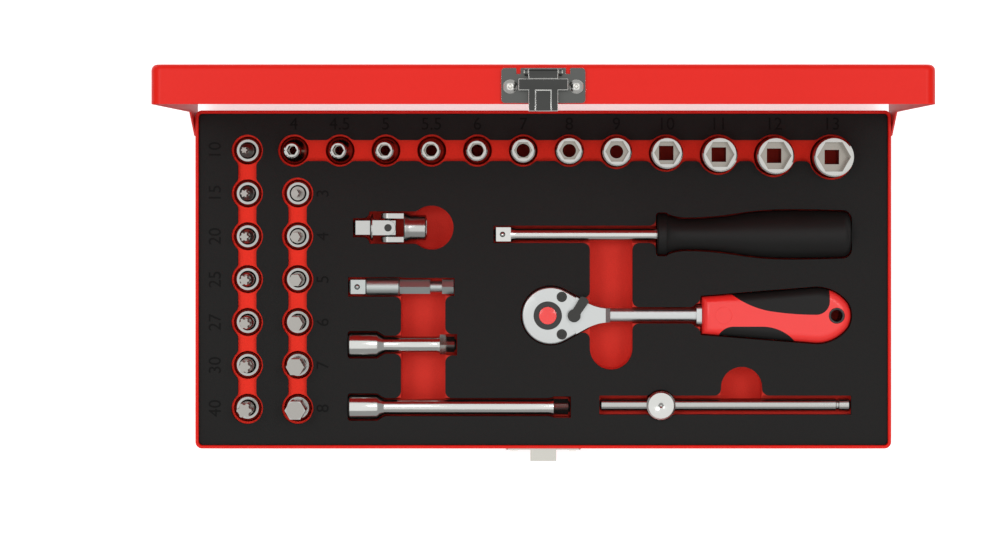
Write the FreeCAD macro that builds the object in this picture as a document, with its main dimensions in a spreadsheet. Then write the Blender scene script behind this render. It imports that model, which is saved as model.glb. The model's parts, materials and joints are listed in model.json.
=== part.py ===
import FreeCAD, Part
import math
import os
import re
import Sketcher
from FreeCAD import Placement, Rotation, Vector

# A quarter inch socket wrench set lying in the two-layer foam of a sheet steel case.
# The origin is the centre of the case's underside: +X right, +Y to the hinged rear, +Z up.
# The case stands open, with the lid at its stop.

SIZES = {
    # sheet steel case
    "case_width": 312.0,
    "case_depth": 151.6,
    "case_height": 27.0,
    "case_corner": 3.0,
    "case_bend": 2.4,
    "sheet_steel": 0.8,
    "lid_rise": 13.0,
    "lid_overlap": 3.0,
    "lid_gap": 0.5,
    "lid_open_angle": 90.0,
    "rear_flange": 9.3,
    "stop_width": 10.0,
    "stop_gap": 0.35,
    # lid pivots
    "pivot_inset": 6.0,
    "pivot_drop": 8.0,
    "pivot_radius": 1.5,
    "pivot_fit": 0.08,
    "pivot_head_radius": 3.0,
    "pivot_head_height": 1.1,
    "pivot_tail_height": 0.6,
    "ear_radius": 5.4,
    "ear_arc_run": 0.6,
    "ear_arc_drop": 0.8,
    "ear_run": 20.0,
    # latch on the lid
    "latch_width": 33.6,
    "latch_height": 14.0,
    "latch_corner": 1.5,
    "latch_sheet": 1.0,
    "latch_edge_gap": 0.4,
    "latch_notch_width": 1.8,
    "latch_notch_depth": 2.4,
    "latch_notch_place": 9.0,
    "latch_lug": 1.2,
    "latch_pin_height": 12.2,
    "latch_pin_radius": 0.8,
    "latch_pin_fit": 0.06,
    "latch_barrel_radius": 1.5,
    "barrel_edge_share": 0.9,
    "barrel_bite_share": 0.2,
    "latch_barrel_gap": 0.3,
    "lever_width": 11.8,
    "lever_sheet": 1.0,
    "lever_rib": 2.8,
    "lever_rib_height": 0.9,
    "lever_wing_span": 19.8,
    "lever_wing_height": 4.6,
    "lever_wing_drop": 2.6,
    "lever_hook_gap": 0.4,
    "lever_hook_reach": 3.0,
    # catch on the base
    "catch_width": 34.0,
    "catch_height": 10.0,
    "catch_sheet": 1.0,
    "catch_tab_width": 11.7,
    "catch_tab_reach": 6.0,
    "catch_edge_gap": 0.6,
    # rivets of latch and catch
    "rivet_spacing": 26.4,
    "rivet_rise": 6.6,
    "rivet_head_radius": 2.95,
    "rivet_tail_share": 0.8,
    "rivet_head_height": 1.4,
    "rivet_radius": 1.5,
    "rivet_fit": 0.05,
    "rivet_tail_height": 0.6,
    "rivet_dimple_radius": 1.0,
    "rivet_dimple_depth": 0.6,
    # foam
    "foam_gap": 0.4,
    "foam_below_rim": 1.7,
    "foam_black": 2.4,
    "foam_blend": 3.0,
    "foam_seam_rear": 48.2,
    "foam_seam_bits": -97.0,
    "foam_seam_bars": -28.0,
    "foam_seam_grips": 48.0,
    "foam_seam_small_sockets": -40.4,
    "foam_seam_large_sockets": 43.4,
    "pocket_gap": 0.4,
    "grip_gap": 0.6,
    "round_pocket_gap": 1.3,
    "seat_gap": 0.1,
    # square drive shared by every tool
    "drive_square": 6.3,
    "drive_play": 0.2,
    "drive_depth": 9.0,
    "drive_length": 7.4,
    "drive_bevel": 0.8,
    "drive_diagonal": 8.9,
    "drive_root_radius": 3.5,
    "drive_boss_radius": 5.0,
    "ball_radius": 1.2,
    "ball_proud": 0.5,
    "ball_fit": 0.05,
    # hex sockets
    "socket_length": 25.0,
    "socket_drive_end": 11.9,
    "socket_drive_run": 11.0,
    "socket_taper_run": 3.0,
    "socket_bevel": 0.6,
    "socket_hex_depth": 10.0,
    "socket_hex_play": 0.1,
    "socket_bore_share": 0.9,
    "socket_bore": 6.0,
    "socket_floor": 11.3,
    "socket_first": -112.0,
    "socket_row_top": 65.1,
    "socket_row_gap": 6.1,
    "socket_channel": 9.4,
    # bit sockets
    "holder_diameter": 11.6,
    "holder_length": 19.0,
    "holder_bevel": 0.9,
    "star_hollow_share": 0.72,
    "star_rim_share": 0.95,
    "star_lobe_angle": 13.0,
    "holder_seat": 8.0,
    "bit_length": 16.0,
    "holder_rim": 1.1,
    "holder_mouth_depth": 3.0,
    "bit_shank": 6.2,
    "bit_shank_run": 5.0,
    "bit_taper_run": 2.0,
    "bit_fit": 0.04,
    "bit_floor": 3.3,
    "bit_pitch": 19.3,
    "bit_channel": 8.3,
    "star_column": -133.0,
    "star_top": 57.9,
    "hex_column": -110.4,
    "hex_top": 38.6,
    # height of the axes of the tools that lie down
    "tool_axis": 22.0,
    # universal joint
    "joint_place": -69.6,
    "joint_row": 23.2,
    "joint_drive_reach": 15.5,
    "joint_socket_reach": 17.1,
    "joint_fork_root": 7.0,
    "joint_drive_eye_half": 3.3,
    "joint_socket_eye_half": 3.6,
    "joint_drive_eye_inner": 3.7,
    "joint_drive_eye_outer": 6.0,
    "joint_socket_eye_inner": 4.0,
    "joint_socket_eye_outer": 6.6,
    "joint_cross_half": 3.4,
    "joint_pin_radius": 1.6,
    "joint_pin_fit": 0.06,
    "joint_socket_radius": 5.75,
    "joint_pocket_half": 7.3,
    "joint_recess_radius": 9.9,
    "joint_recess_place": -50.2,
    # bit adapter
    "adapter_left": -87.3,
    "adapter_row": -3.4,
    "adapter_collar_run": 15.4,
    "adapter_collar_radius": 4.0,
    "adapter_hex": 6.3,
    "adapter_hex_run": 13.6,
    "adapter_groove_run": 5.4,
    "adapter_groove_radius": 2.5,
    "adapter_tip_run": 5.2,
    # extensions
    "extension_head_radius": 5.8,
    "extension_head_run": 12.7,
    "extension_taper_run": 3.5,
    "extension_shaft_radius": 3.7,
    "extension_neck_run": 2.0,
    "extension_root_radius": 4.2,
    "short_extension_length": 48.4,
    "short_extension_row": -29.4,
    "long_extension_length": 99.5,
    "long_extension_row": -57.4,
    "extension_left": -87.5,
    # spinner handle
    "spinner_left": -22.0,
    "spinner_row": 20.2,
    "spinner_shaft_radius": 3.0,
    "spinner_shaft_length": 73.2,
    "spinner_neck_run": 2.3,
    "spinner_tang": 40.0,
    "spinner_tang_radius": 2.5,
    "grip_length": 86.8,
    "grip_flange_radius": 9.25,
    "grip_flange_run": 4.5,
    "grip_waist_radius": 6.95,
    "grip_waist_place": 13.0,
    "grip_belly_radius": 10.75,
    "grip_belly_place": 58.5,
    "grip_end_radius": 10.3,
    "grip_end_round": 3.6,
    # ratchet
    "ratchet_x": 2.0,
    "ratchet_row": -16.2,
    "ratchet_middle": 20.5,
    "head_radius": 12.9,
    "head_middle": 1.3,
    "head_flank_angle": 28.8,
    "head_neck_blend": 22.0,
    "head_thick": 13.0,
    "head_round": 0.9,
    "head_step": 0.5,
    "head_step_radius": 3.6,
    "head_end_bevel": 2.6,
    "shank_half_width": 3.1,
    "shank_thick": 6.6,
    "shank_end": 66.9,
    "tang_length": 40.0,
    "tang_half": 2.8,
    "gear_radius": 7.6,
    "gear_tooth": 0.7,
    "tooth_foot_share": 0.9,
    "tooth_root_share": 0.97,
    "tooth_tip_share": 0.15,
    "gear_teeth": 30.0,
    "gear_thick": 7.0,
    "gear_side_gap": 0.3,
    "gear_pocket_gap": 0.3,
    "hub_radius": 6.3,
    "hub_fit": 0.08,
    "bezel_depth": 2.0,
    "button_radius": 3.9,
    "button_fit": 0.08,
    "button_length": 5.0,
    "button_proud": 0.8,
    "button_travel": 1.2,
    "cover_thick": 1.2,
    "cover_fit": 0.05,
    "cover_lip": 0.4,
    "cover_relief": 0.5,
    "screw_head_radius": 2.3,
    "screw_radius": 1.2,
    "screw_place_x": 6.3,
    "screw_place_y": 8.4,
    "screw_head_depth": 1.2,
    "lever_pivot_x": 11.8,
    "lever_shaft_radius": 1.6,
    "lever_shaft_fit": 0.06,
    "lever_boss_radius": 2.9,
    "lever_arm": 9.6,
    "lever_arm_half": 2.2,
    "lever_waist_half": 1.9,
    "lever_tip_bow": 0.8,
    "lever_thick": 2.4,
    "lever_lift": 0.25,
    "lever_rest_angle": 57.0,
    "pawl_radius": 2.6,
    "pawl_nose_radius": 3.8,
    "pawl_nose_half": 0.8,
    "pawl_tip_share": 0.4,
    "pawl_nose_angle": 32.0,
    "collar_length": 2.3,
    "collar_half_width": 4.6,
    "collar_half_thick": 4.6,
    "handle_start": 69.2,
    "handle_length": 66.9,
    "handle_front_half": 8.3,
    "handle_swell_half": 12.4,
    "handle_swell_place": 51.5,
    "handle_thick": 15.0,
    "handle_round": 4.2,
    "handle_end_half": 5.6,
    "handle_end_bow": 1.6,
    "tang_fit": 0.05,
    "hang_hole_radius": 3.0,
    "hang_hole_inset": 6.6,
    "upper_pad_start": 13.2,
    "upper_pad_end": 57.2,
    "upper_pad_edge": 9.6,
    "upper_pad_bend": 40.0,
    "upper_pad_slope_end": 31.0,
    "upper_pad_slope_line": 1.9,
    "upper_pad_line": 0.4,
    "upper_pad_corner": 6.0,
    "lower_pad_start": 7.5,
    "lower_pad_end": 42.2,
    "lower_pad_edge": 8.8,
    "lower_pad_tail": 12.2,
    "lower_pad_line": 4.9,
    "lower_pad_flat_start": 14.0,
    "lower_pad_flat_end": 27.0,
    # T-handle
    "bar_left": 25.6,
    "bar_length": 112.3,
    "bar_row": -56.5,
    "bar_radius": 2.9,
    "bar_fit": 0.08,
    "bar_bevel": 0.6,
    "bar_ring_inset": 6.5,
    "bar_ring_run": 1.6,
    "bar_ring_depth": 0.4,
    "bar_head_place": 52.8,
    "bar_head_radius": 6.5,
    "bar_head_length": 12.4,
    "bar_head_bevel": 0.8,
    "bar_dimple_radius": 1.4,
    "bar_slot_half": 4.3,
    # finger recesses
    "recess_floor": 10.0,
    "left_recess_start": -64.0,
    "left_recess_end": -44.0,
    "middle_recess_start": 20.9,
    "middle_recess_end": 40.1,
    "middle_recess_bottom": -31.0,
    "bar_recess_start": 79.8,
    "bar_recess_end": 98.4,
    "bar_recess_top": -48.6,
}

# across flats of each hex socket, and the diameter of its nose
SOCKETS = {
    "4": (4.0, 7.0),
    "4_5": (4.5, 7.4),
    "5": (5.0, 8.2),
    "5_5": (5.5, 8.8),
    "6": (6.0, 9.5),
    "7": (7.0, 10.9),
    "8": (8.0, 12.0),
    "9": (9.0, 13.0),
    "10": (10.0, 14.2),
    "11": (11.0, 15.6),
    "12": (12.0, 16.6),
    "13": (13.0, 17.8),
}

# point to point width of each star bit, and across flats of each hex bit
STAR_BITS = {"10": 2.8, "15": 3.3, "20": 3.9, "25": 4.5, "27": 5.0, "30": 5.6, "40": 6.7}
HEX_BITS = {"3": 3.0, "4": 4.0, "5": 5.0, "6": 6.0, "7": 7.0, "8": 8.0}

for socket_size, (socket_flats, socket_nose) in SOCKETS.items():
    SIZES[f"socket_{socket_size}_flats"] = socket_flats
    SIZES[f"socket_{socket_size}_nose"] = socket_nose
for bit_size, bit_width in STAR_BITS.items():
    SIZES[f"star_{bit_size}_width"] = bit_width
for bit_size, bit_width in HEX_BITS.items():
    SIZES[f"hexbit_{bit_size}_flats"] = bit_width

doc = FreeCAD.newDocument("SocketWrenchSet")
sheet = doc.addObject("Spreadsheet::Sheet", "Sizes")
for row, (alias, value) in enumerate(SIZES.items(), 1):
    sheet.set(f"A{row}", alias)
    sheet.set(f"B{row}", str(value))
    sheet.setAlias(f"B{row}", alias)
doc.recompute()

WORD = re.compile(r"\b[a-z]\w*\b(?!\()")
FLATS_TO_CORNERS = "1.1547005"
# a half circle is drawn with its radius a hair over half its chord
HALF_TURN = "1.0001"
ALONG_X = Rotation(Vector(0, 1, 0), 90)
ALONG_Y = Rotation(Vector(1, 0, 0), -90)
TURN_AXES = Rotation(Vector(1, 1, 1), 120)
subparts = []


def formula(text):
    """A formula in the sheet's words, as an expression of the document."""
    return WORD.sub(r"Sizes.\g<0>", str(text))


def number(text):
    """The value of a formula in the sheet's words."""
    return float(sheet.evalExpression(formula(text)))


def tie(thing, prop, text):
    """Bind a property to a formula in the sheet's words."""
    thing.setExpression(prop, formula(text))


def seat(thing, x="0", y="0", z="0", turn=None):
    """Place a sub-part by formulas, turned as given."""
    if turn is not None:
        thing.Placement = Placement(Vector(), turn)
    for axis, text in zip("xyz", (x, y, z)):
        tie(thing, f".Placement.Base.{axis}", text)


def new_body(label, keep=True):
    """An empty body, listed as a sub-part unless it is only a step towards one."""
    made = doc.addObject("PartDesign::Body", label)
    made.Label = label
    if keep:
        subparts.append(made)
    return made


def group(label, members):
    """Separate solids that share one node."""
    made = doc.addObject("Part::Compound", label)
    made.Label = label
    made.Links = members
    subparts.append(made)
    return made


def combine(kind, label, base, tool, keep=True):
    """A boolean of two objects."""
    made = doc.addObject(f"Part::{kind}", label)
    made.Label = label
    made.Base = base
    made.Tool = tool
    if keep:
        subparts.append(made)
    return made


def sketch_on(body, plane, rise="0"):
    """An empty sketch on an origin plane of the body, moved along its normal."""
    made = body.newObject("Sketcher::SketchObject", f"{body.Name}_sketch")
    support = next(f for f in body.Origin.OriginFeatures if f.Role == plane)
    made.AttachmentSupport = [(support, "")]
    made.MapMode = "FlatFace"
    tie(made, ".AttachmentOffset.Base.z", rise)
    return made


def arc_between(start, end, radius):
    """The lesser arc from start to end: anticlockwise where the radius is positive."""
    chord = end - start
    side = math.copysign(1.0, radius)
    rise = math.sqrt(max(radius**2 - (chord.Length / 2) ** 2, 0.0))
    left = Vector(-chord.y, chord.x, 0).normalize()
    centre = (start + end) / 2 + left * (side * rise)
    first, last = (start, end) if side > 0 else (end, start)
    angles = [math.atan2(p.y - centre.y, p.x - centre.x) for p in (first, last)]
    if angles[1] < angles[0]:
        angles[1] += 2 * math.pi
    circle = Part.Circle(centre, Vector(0, 0, 1), abs(radius))
    return Part.ArcOfCircle(circle, *angles)


def outline(body, plane, points, rise="0"):
    """A closed sketch through points (x, y), or (x, y, r) where an arc leads on to the next."""
    made = sketch_on(body, plane, rise)
    places = [Vector(number(p[0]), number(p[1]), 0) for p in points]
    ends = []
    for i, point in enumerate(points):
        start, end = places[i], places[(i + 1) % len(points)]
        if len(point) == 2:
            made.addGeometry(Part.LineSegment(start, end))
            ends.append((1, 2))
            continue
        radius = number(point[2])
        made.addGeometry(arc_between(start, end, radius))
        ends.append((1, 2) if radius > 0 else (2, 1))
        rule = made.addConstraint(Sketcher.Constraint("Radius", i, abs(radius)))
        tie(made, f"Constraints[{rule}]", f"abs({point[2]})")
    for i, point in enumerate(points):
        after = (i + 1) % len(points)
        made.addConstraint(Sketcher.Constraint("Coincident", i, ends[i][1], after, ends[after][0]))
        for kind, text, value in (("DistanceX", point[0], places[i].x), ("DistanceY", point[1], places[i].y)):
            rule = made.addConstraint(Sketcher.Constraint(kind, -1, 1, i, ends[i][0], value))
            tie(made, f"Constraints[{rule}]", text)
    return made


def rounded(body, plane, half_x, half_y, corner, rise="0", middle=("0", "0")):
    """A rectangle with rounded corners about a middle point."""
    x, y = middle
    left, right = f"{x} - ({half_x})", f"{x} + ({half_x})"
    low, high = f"{y} - ({half_y})", f"{y} + ({half_y})"
    points = [
        (f"{left} + ({corner})", low),
        (f"{right} - ({corner})", low, corner),
        (right, f"{low} + ({corner})"),
        (right, f"{high} - ({corner})", corner),
        (f"{right} - ({corner})", high),
        (f"{left} + ({corner})", high, corner),
        (left, f"{high} - ({corner})"),
        (left, f"{low} + ({corner})", corner),
    ]
    return outline(body, plane, points, rise)


def pad(body, sketch, length, both_ways=False, back=False):
    """Raise a sketch along its normal, or both ways about its plane."""
    made = body.newObject("PartDesign::Pad", f"{body.Name}_pad")
    made.Profile = sketch
    made.Midplane = both_ways
    made.Reversed = back
    tie(made, "Length", length)
    return made


def pocket(body, sketch, length, forward=False, both_ways=False):
    """Cut a sketch against its normal, or along it, or both ways."""
    made = body.newObject("PartDesign::Pocket", f"{body.Name}_pocket")
    made.Profile = sketch
    made.Reversed = forward
    made.Midplane = both_ways
    tie(made, "Length", length)
    return made


def turned(body, points):
    """Revolve a profile of (radius, height) points about the body's own Z axis."""
    made = body.newObject("PartDesign::Revolution", f"{body.Name}_turned")
    profile = outline(body, "XZ_Plane", points)
    made.Profile = profile
    made.ReferenceAxis = (profile, ["V_Axis"])
    made.Angle = 360
    return made


def block(body, kind, x, y, z):
    """An additive or subtractive box between two formulas on each axis."""
    made = body.newObject(f"PartDesign::{kind}Box", f"{body.Name}_block")
    for axis, size, (low, high) in zip("xyz", ("Length", "Width", "Height"), (x, y, z)):
        tie(made, size, f"({high}) - ({low})")
        tie(made, f".Placement.Base.{axis}", low)
    return made


def drum(body, kind, radius, height, x="0", y="0", z="0", turn=None):
    """An additive or subtractive cylinder."""
    made = body.newObject(f"PartDesign::{kind}Cylinder", f"{body.Name}_drum")
    tie(made, "Radius", radius)
    tie(made, "Height", height)
    seat(made, x, y, z, turn)
    return made


def hexagon(body, kind, flats, height, z="0"):
    """An additive or subtractive hexagonal prism, with two flats facing along Y."""
    made = body.newObject(f"PartDesign::{kind}Prism", f"{body.Name}_hexagon")
    made.Polygon = 6
    tie(made, "Circumradius", f"({flats}) / 2 * {FLATS_TO_CORNERS}")
    tie(made, "Height", height)
    seat(made, z=z)
    return made


def round_edges(body, radius, test, kind="Fillet", size="Radius"):
    """Fillet, or bevel, the edges of the body's last feature that pass a test."""
    doc.recompute()
    base = body.Tip
    names = [f"Edge{i}" for i, edge in enumerate(base.Shape.Edges, 1) if test(edge)]
    made = body.newObject(f"PartDesign::{kind}", f"{body.Name}_edges")
    made.Base = (base, names)
    tie(made, size, radius)
    return made


def level(shape, text):
    """Whether an edge or a face lies at one height."""
    box = shape.BoundBox
    height = number(text)
    return abs(box.ZMin - height) < 0.001 and abs(box.ZMax - height) < 0.001


def back_arc(edge, text):
    """Whether an edge is an arc of the ratchet head's round back, at one height."""
    if not level(edge, text) or not isinstance(edge.Curve, Part.Circle):
        return False
    return abs(edge.Curve.Radius - number("head_radius")) < 0.001


def across_end(edge, text):
    """Whether an edge runs straight across the ratchet head's end, at one height."""
    box = edge.BoundBox
    return level(edge, text) and abs(box.XMin - number(HEAD_END)) < 0.001 and box.XLength < 0.001


# Heights and planes that several pieces share.
REAR = "case_depth / 2"
PIVOT_Y = f"{REAR} - pivot_inset"
PIVOT_Z = "case_height - pivot_drop"
LID_EDGE = "case_height - lid_overlap"
LID_TOP = "case_height + lid_rise"
LID_HALF_X = "case_width / 2 + lid_gap + sheet_steel"
LID_HALF_Y = f"{REAR} + lid_gap + sheet_steel"
FOAM_TOP = "case_height - foam_below_rim"
FOAM_SPLIT = f"{FOAM_TOP} - foam_black"
DRIVE_HOLE = "(drive_square + drive_play)"
CATCH_TOP = f"{LID_EDGE} - catch_edge_gap"
CATCH_RIVET_Z = f"{CATCH_TOP} - catch_height / 2 - catch_sheet"
LATCH_LOW = f"{LID_EDGE} + latch_edge_gap"
LATCH_RIVET_Z = f"{LATCH_LOW} + rivet_rise"
LATCH_FACE = f"{LID_HALF_Y} + latch_sheet"
PIN_Y = f"-({LATCH_FACE} + latch_barrel_gap + latch_barrel_radius)"
PIN_Z = f"{LATCH_LOW} + latch_pin_height"


def opened(thing):
    """Swing a piece that is modelled on the closed lid to where the open lid carries it."""
    centre = Vector(0, number(PIVOT_Y), number(PIVOT_Z))
    swing = Rotation(Vector(1, 0, 0), -number("lid_open_angle"))
    thing.Placement = Placement(Vector(), swing, centre)


def case_base():
    """The folded tray, with a hole for each lid pivot and for each rivet of the catch."""
    body = new_body("case_base")
    pad(body, rounded(body, "XY_Plane", "case_width / 2", REAR, "case_corner"), "case_height")
    inner = rounded(
        body,
        "XY_Plane",
        "case_width / 2 - sheet_steel",
        f"{REAR} - sheet_steel",
        "case_corner - sheet_steel",
        "case_height",
    )
    pocket(body, inner, "case_height - sheet_steel")
    round_edges(body, "case_bend", lambda edge: level(edge, "0"))
    round_edges(body, "case_bend - sheet_steel", lambda edge: level(edge, "sheet_steel"))
    drum(
        body,
        "Subtractive",
        "pivot_radius + rivet_fit",
        "case_width + 2",
        "-case_width / 2 - 1",
        PIVOT_Y,
        PIVOT_Z,
        ALONG_X,
    )
    for side in ("-", ""):
        drum(
            body,
            "Subtractive",
            "rivet_radius + rivet_fit",
            "4 * sheet_steel",
            f"{side}rivet_spacing / 2",
            f"-{REAR} - 2 * sheet_steel",
            CATCH_RIVET_Z,
            ALONG_Y,
        )


def case_lid():
    """The lid with its two pivot ears, its shallow rear flange and the tab that stops it."""
    body = new_body("case_lid")
    corner = "case_corner + lid_gap + sheet_steel"
    depth = "lid_rise + lid_overlap"
    pad(body, rounded(body, "XY_Plane", LID_HALF_X, LID_HALF_Y, corner, LID_EDGE), depth)
    inner = rounded(
        body,
        "XY_Plane",
        f"{LID_HALF_X} - sheet_steel",
        f"{LID_HALF_Y} - sheet_steel",
        f"{corner} - sheet_steel",
        LID_EDGE,
    )
    pocket(body, inner, f"{depth} - sheet_steel", forward=True)
    round_edges(body, "case_bend", lambda edge: level(edge, LID_TOP))
    inside = f"{LID_TOP} - sheet_steel"
    round_edges(body, "case_bend - sheet_steel", lambda edge: level(edge, inside))
    inner_side = f"{LID_HALF_X} - sheet_steel"
    rear = (f"{REAR} - case_corner", f"{LID_HALF_Y} + 1")
    flange = (f"{LID_EDGE} - 1", f"{LID_TOP} - rear_flange")
    block(body, "Subtractive", (f"-({inner_side})", "-stop_width / 2"), rear, flange)
    block(body, "Subtractive", ("stop_width / 2", inner_side), rear, flange)
    stop = (f"{LID_EDGE} - 1", f"{PIVOT_Z} + pivot_inset + stop_gap")
    block(body, "Subtractive", ("-stop_width", "stop_width"), rear, stop)
    ear = [
        (f"{PIVOT_Y} - ear_run", f"{LID_EDGE} + sheet_steel"),
        (f"{PIVOT_Y} - ear_run", LID_EDGE),
        (f"{PIVOT_Y} - ear_radius * ear_arc_run", f"{PIVOT_Z} - ear_radius * ear_arc_drop", "ear_radius"),
        (f"{PIVOT_Y} + ear_radius", PIVOT_Z),
        (f"{PIVOT_Y} + ear_radius", f"{LID_EDGE} + sheet_steel"),
    ]
    pad(body, outline(body, "YZ_Plane", ear, inner_side), "sheet_steel")
    pad(body, outline(body, "YZ_Plane", ear, f"-({LID_HALF_X})"), "sheet_steel")
    drum(
        body,
        "Subtractive",
        "pivot_radius + pivot_fit",
        f"2 * ({LID_HALF_X}) + 2",
        f"-({LID_HALF_X}) - 1",
        PIVOT_Y,
        PIVOT_Z,
        ALONG_X,
    )
    for side in ("-", ""):
        drum(
            body,
            "Subtractive",
            "rivet_radius + rivet_fit",
            "4 * sheet_steel",
            f"{side}rivet_spacing / 2",
            f"-({LID_HALF_Y}) - sheet_steel",
            LATCH_RIVET_Z,
            ALONG_Y,
        )
    opened(body)


def rivet(label, shank, head_radius, head_height, tail_height, shank_radius):
    """A set rivet about Z: the tail's disc at 0, the shank, and a domed head above it."""
    body = new_body(label, keep=False)
    dome = f"(({head_radius})^2 + ({head_height})^2) / (2 * {head_height})"
    head_base = f"{tail_height} + ({shank})"
    rim = f"{head_base} + {head_height} - {dome} + sqrt(({dome})^2 - rivet_dimple_radius^2)"
    turned(
        body,
        [
            ("0", "0"),
            (f"{head_radius} * rivet_tail_share", "0"),
            (f"{head_radius} * rivet_tail_share", tail_height),
            (shank_radius, tail_height),
            (shank_radius, head_base),
            (head_radius, head_base, dome),
            ("rivet_dimple_radius", rim),
            ("rivet_dimple_radius / 2", f"{rim} - rivet_dimple_depth"),
            ("0", f"{rim} - rivet_dimple_depth"),
        ],
    )
    return body


def lid_pivot_rivets():
    """One rivet through each base wall and lid ear, with room for the ear to turn."""
    shank = "2 * sheet_steel + lid_gap + pivot_fit"
    pair = []
    for side, angle in (("left", -90), ("right", 90)):
        made = rivet(
            f"pivot_rivet_{side}",
            shank,
            "pivot_head_radius",
            "pivot_head_height",
            "pivot_tail_height",
            "pivot_radius",
        )
        sign = "-" if side == "left" else ""
        start = f"{sign}(case_width / 2 - sheet_steel - pivot_tail_height)"
        seat(made, start, PIVOT_Y, PIVOT_Z, Rotation(Vector(0, 1, 0), angle))
        pair.append(made)
    group("lid_pivot_rivets", pair)


def plate_rivets(label, shank, inner_face, height):
    """The two rivets of a front plate, with their heads to the front."""
    pair = []
    for side, sign in (("left", "-"), ("right", "")):
        made = rivet(
            f"{label}_{side}",
            shank,
            "rivet_head_radius",
            "rivet_head_height",
            "rivet_tail_height",
            "rivet_radius",
        )
        seat(
            made,
            f"{sign}rivet_spacing / 2",
            f"-({inner_face} - rivet_tail_height)",
            height,
            Rotation(Vector(1, 0, 0), 90),
        )
        pair.append(made)
    return group(label, pair)


def front_plate(label, width, height, sheet_size, low, face):
    """A riveted plate on a front face, with rounded corners."""
    body = new_body(label)
    middle = f"{low} + ({height}) / 2"
    shape = rounded(
        body, "XZ_Plane", f"{width} / 2", f"({height}) / 2", "latch_corner", face, ("0", middle)
    )
    pad(body, shape, sheet_size)
    return body


def rivet_holes(body, height, front):
    """The two rivet holes of a front plate."""
    for sign in ("-", ""):
        drum(
            body,
            "Subtractive",
            "rivet_radius + rivet_fit",
            "6 * sheet_steel",
            f"{sign}rivet_spacing / 2",
            f"-({front}) - 3 * sheet_steel",
            height,
            ALONG_Y,
        )


def latch_plate():
    """The lid's plate, notched at its top edge, with two lugs for the lever's pin."""
    body = front_plate(
        "latch_plate", "latch_width", "latch_height", "latch_sheet", LATCH_LOW, LID_HALF_Y
    )
    top = f"{LATCH_LOW} + latch_height"
    for low in ("-latch_notch_place - latch_notch_width", "latch_notch_place"):
        block(
            body,
            "Subtractive",
            (low, f"{low} + latch_notch_width"),
            (f"-({LATCH_FACE}) - 1", f"-({LID_HALF_Y}) + 1"),
            (f"{top} - latch_notch_depth", f"{top} + 1"),
        )
    rivet_holes(body, LATCH_RIVET_Z, LATCH_FACE)
    inner = "lever_width / 2 + latch_barrel_gap"
    lug = [
        (f"-({LATCH_FACE}) + latch_sheet / 2", f"{PIN_Z} - latch_barrel_radius"),
        (f"-({LATCH_FACE}) + latch_sheet / 2", f"{PIN_Z} + latch_barrel_radius"),
        (PIN_Y, f"{PIN_Z} + latch_barrel_radius", f"latch_barrel_radius * {HALF_TURN}"),
        (PIN_Y, f"{PIN_Z} - latch_barrel_radius"),
    ]
    for low in (f"-({inner}) - latch_lug", inner):
        pad(body, outline(body, "YZ_Plane", lug, low), "latch_lug")
    drum(
        body,
        "Subtractive",
        "latch_pin_radius + latch_pin_fit / 2",
        "latch_width",
        "-latch_width / 2",
        PIN_Y,
        PIN_Z,
        ALONG_X,
    )
    opened(body)


def latch_pin():
    """The pin through both lugs and the lever's barrel."""
    body = new_body("latch_pin")
    half = "lever_width / 2 + latch_barrel_gap + latch_lug + latch_pin_radius / 2"
    drum(
        body, "Additive", "latch_pin_radius", f"2 * ({half})", f"-({half})", PIN_Y, PIN_Z, ALONG_X
    )
    opened(body)


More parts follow.
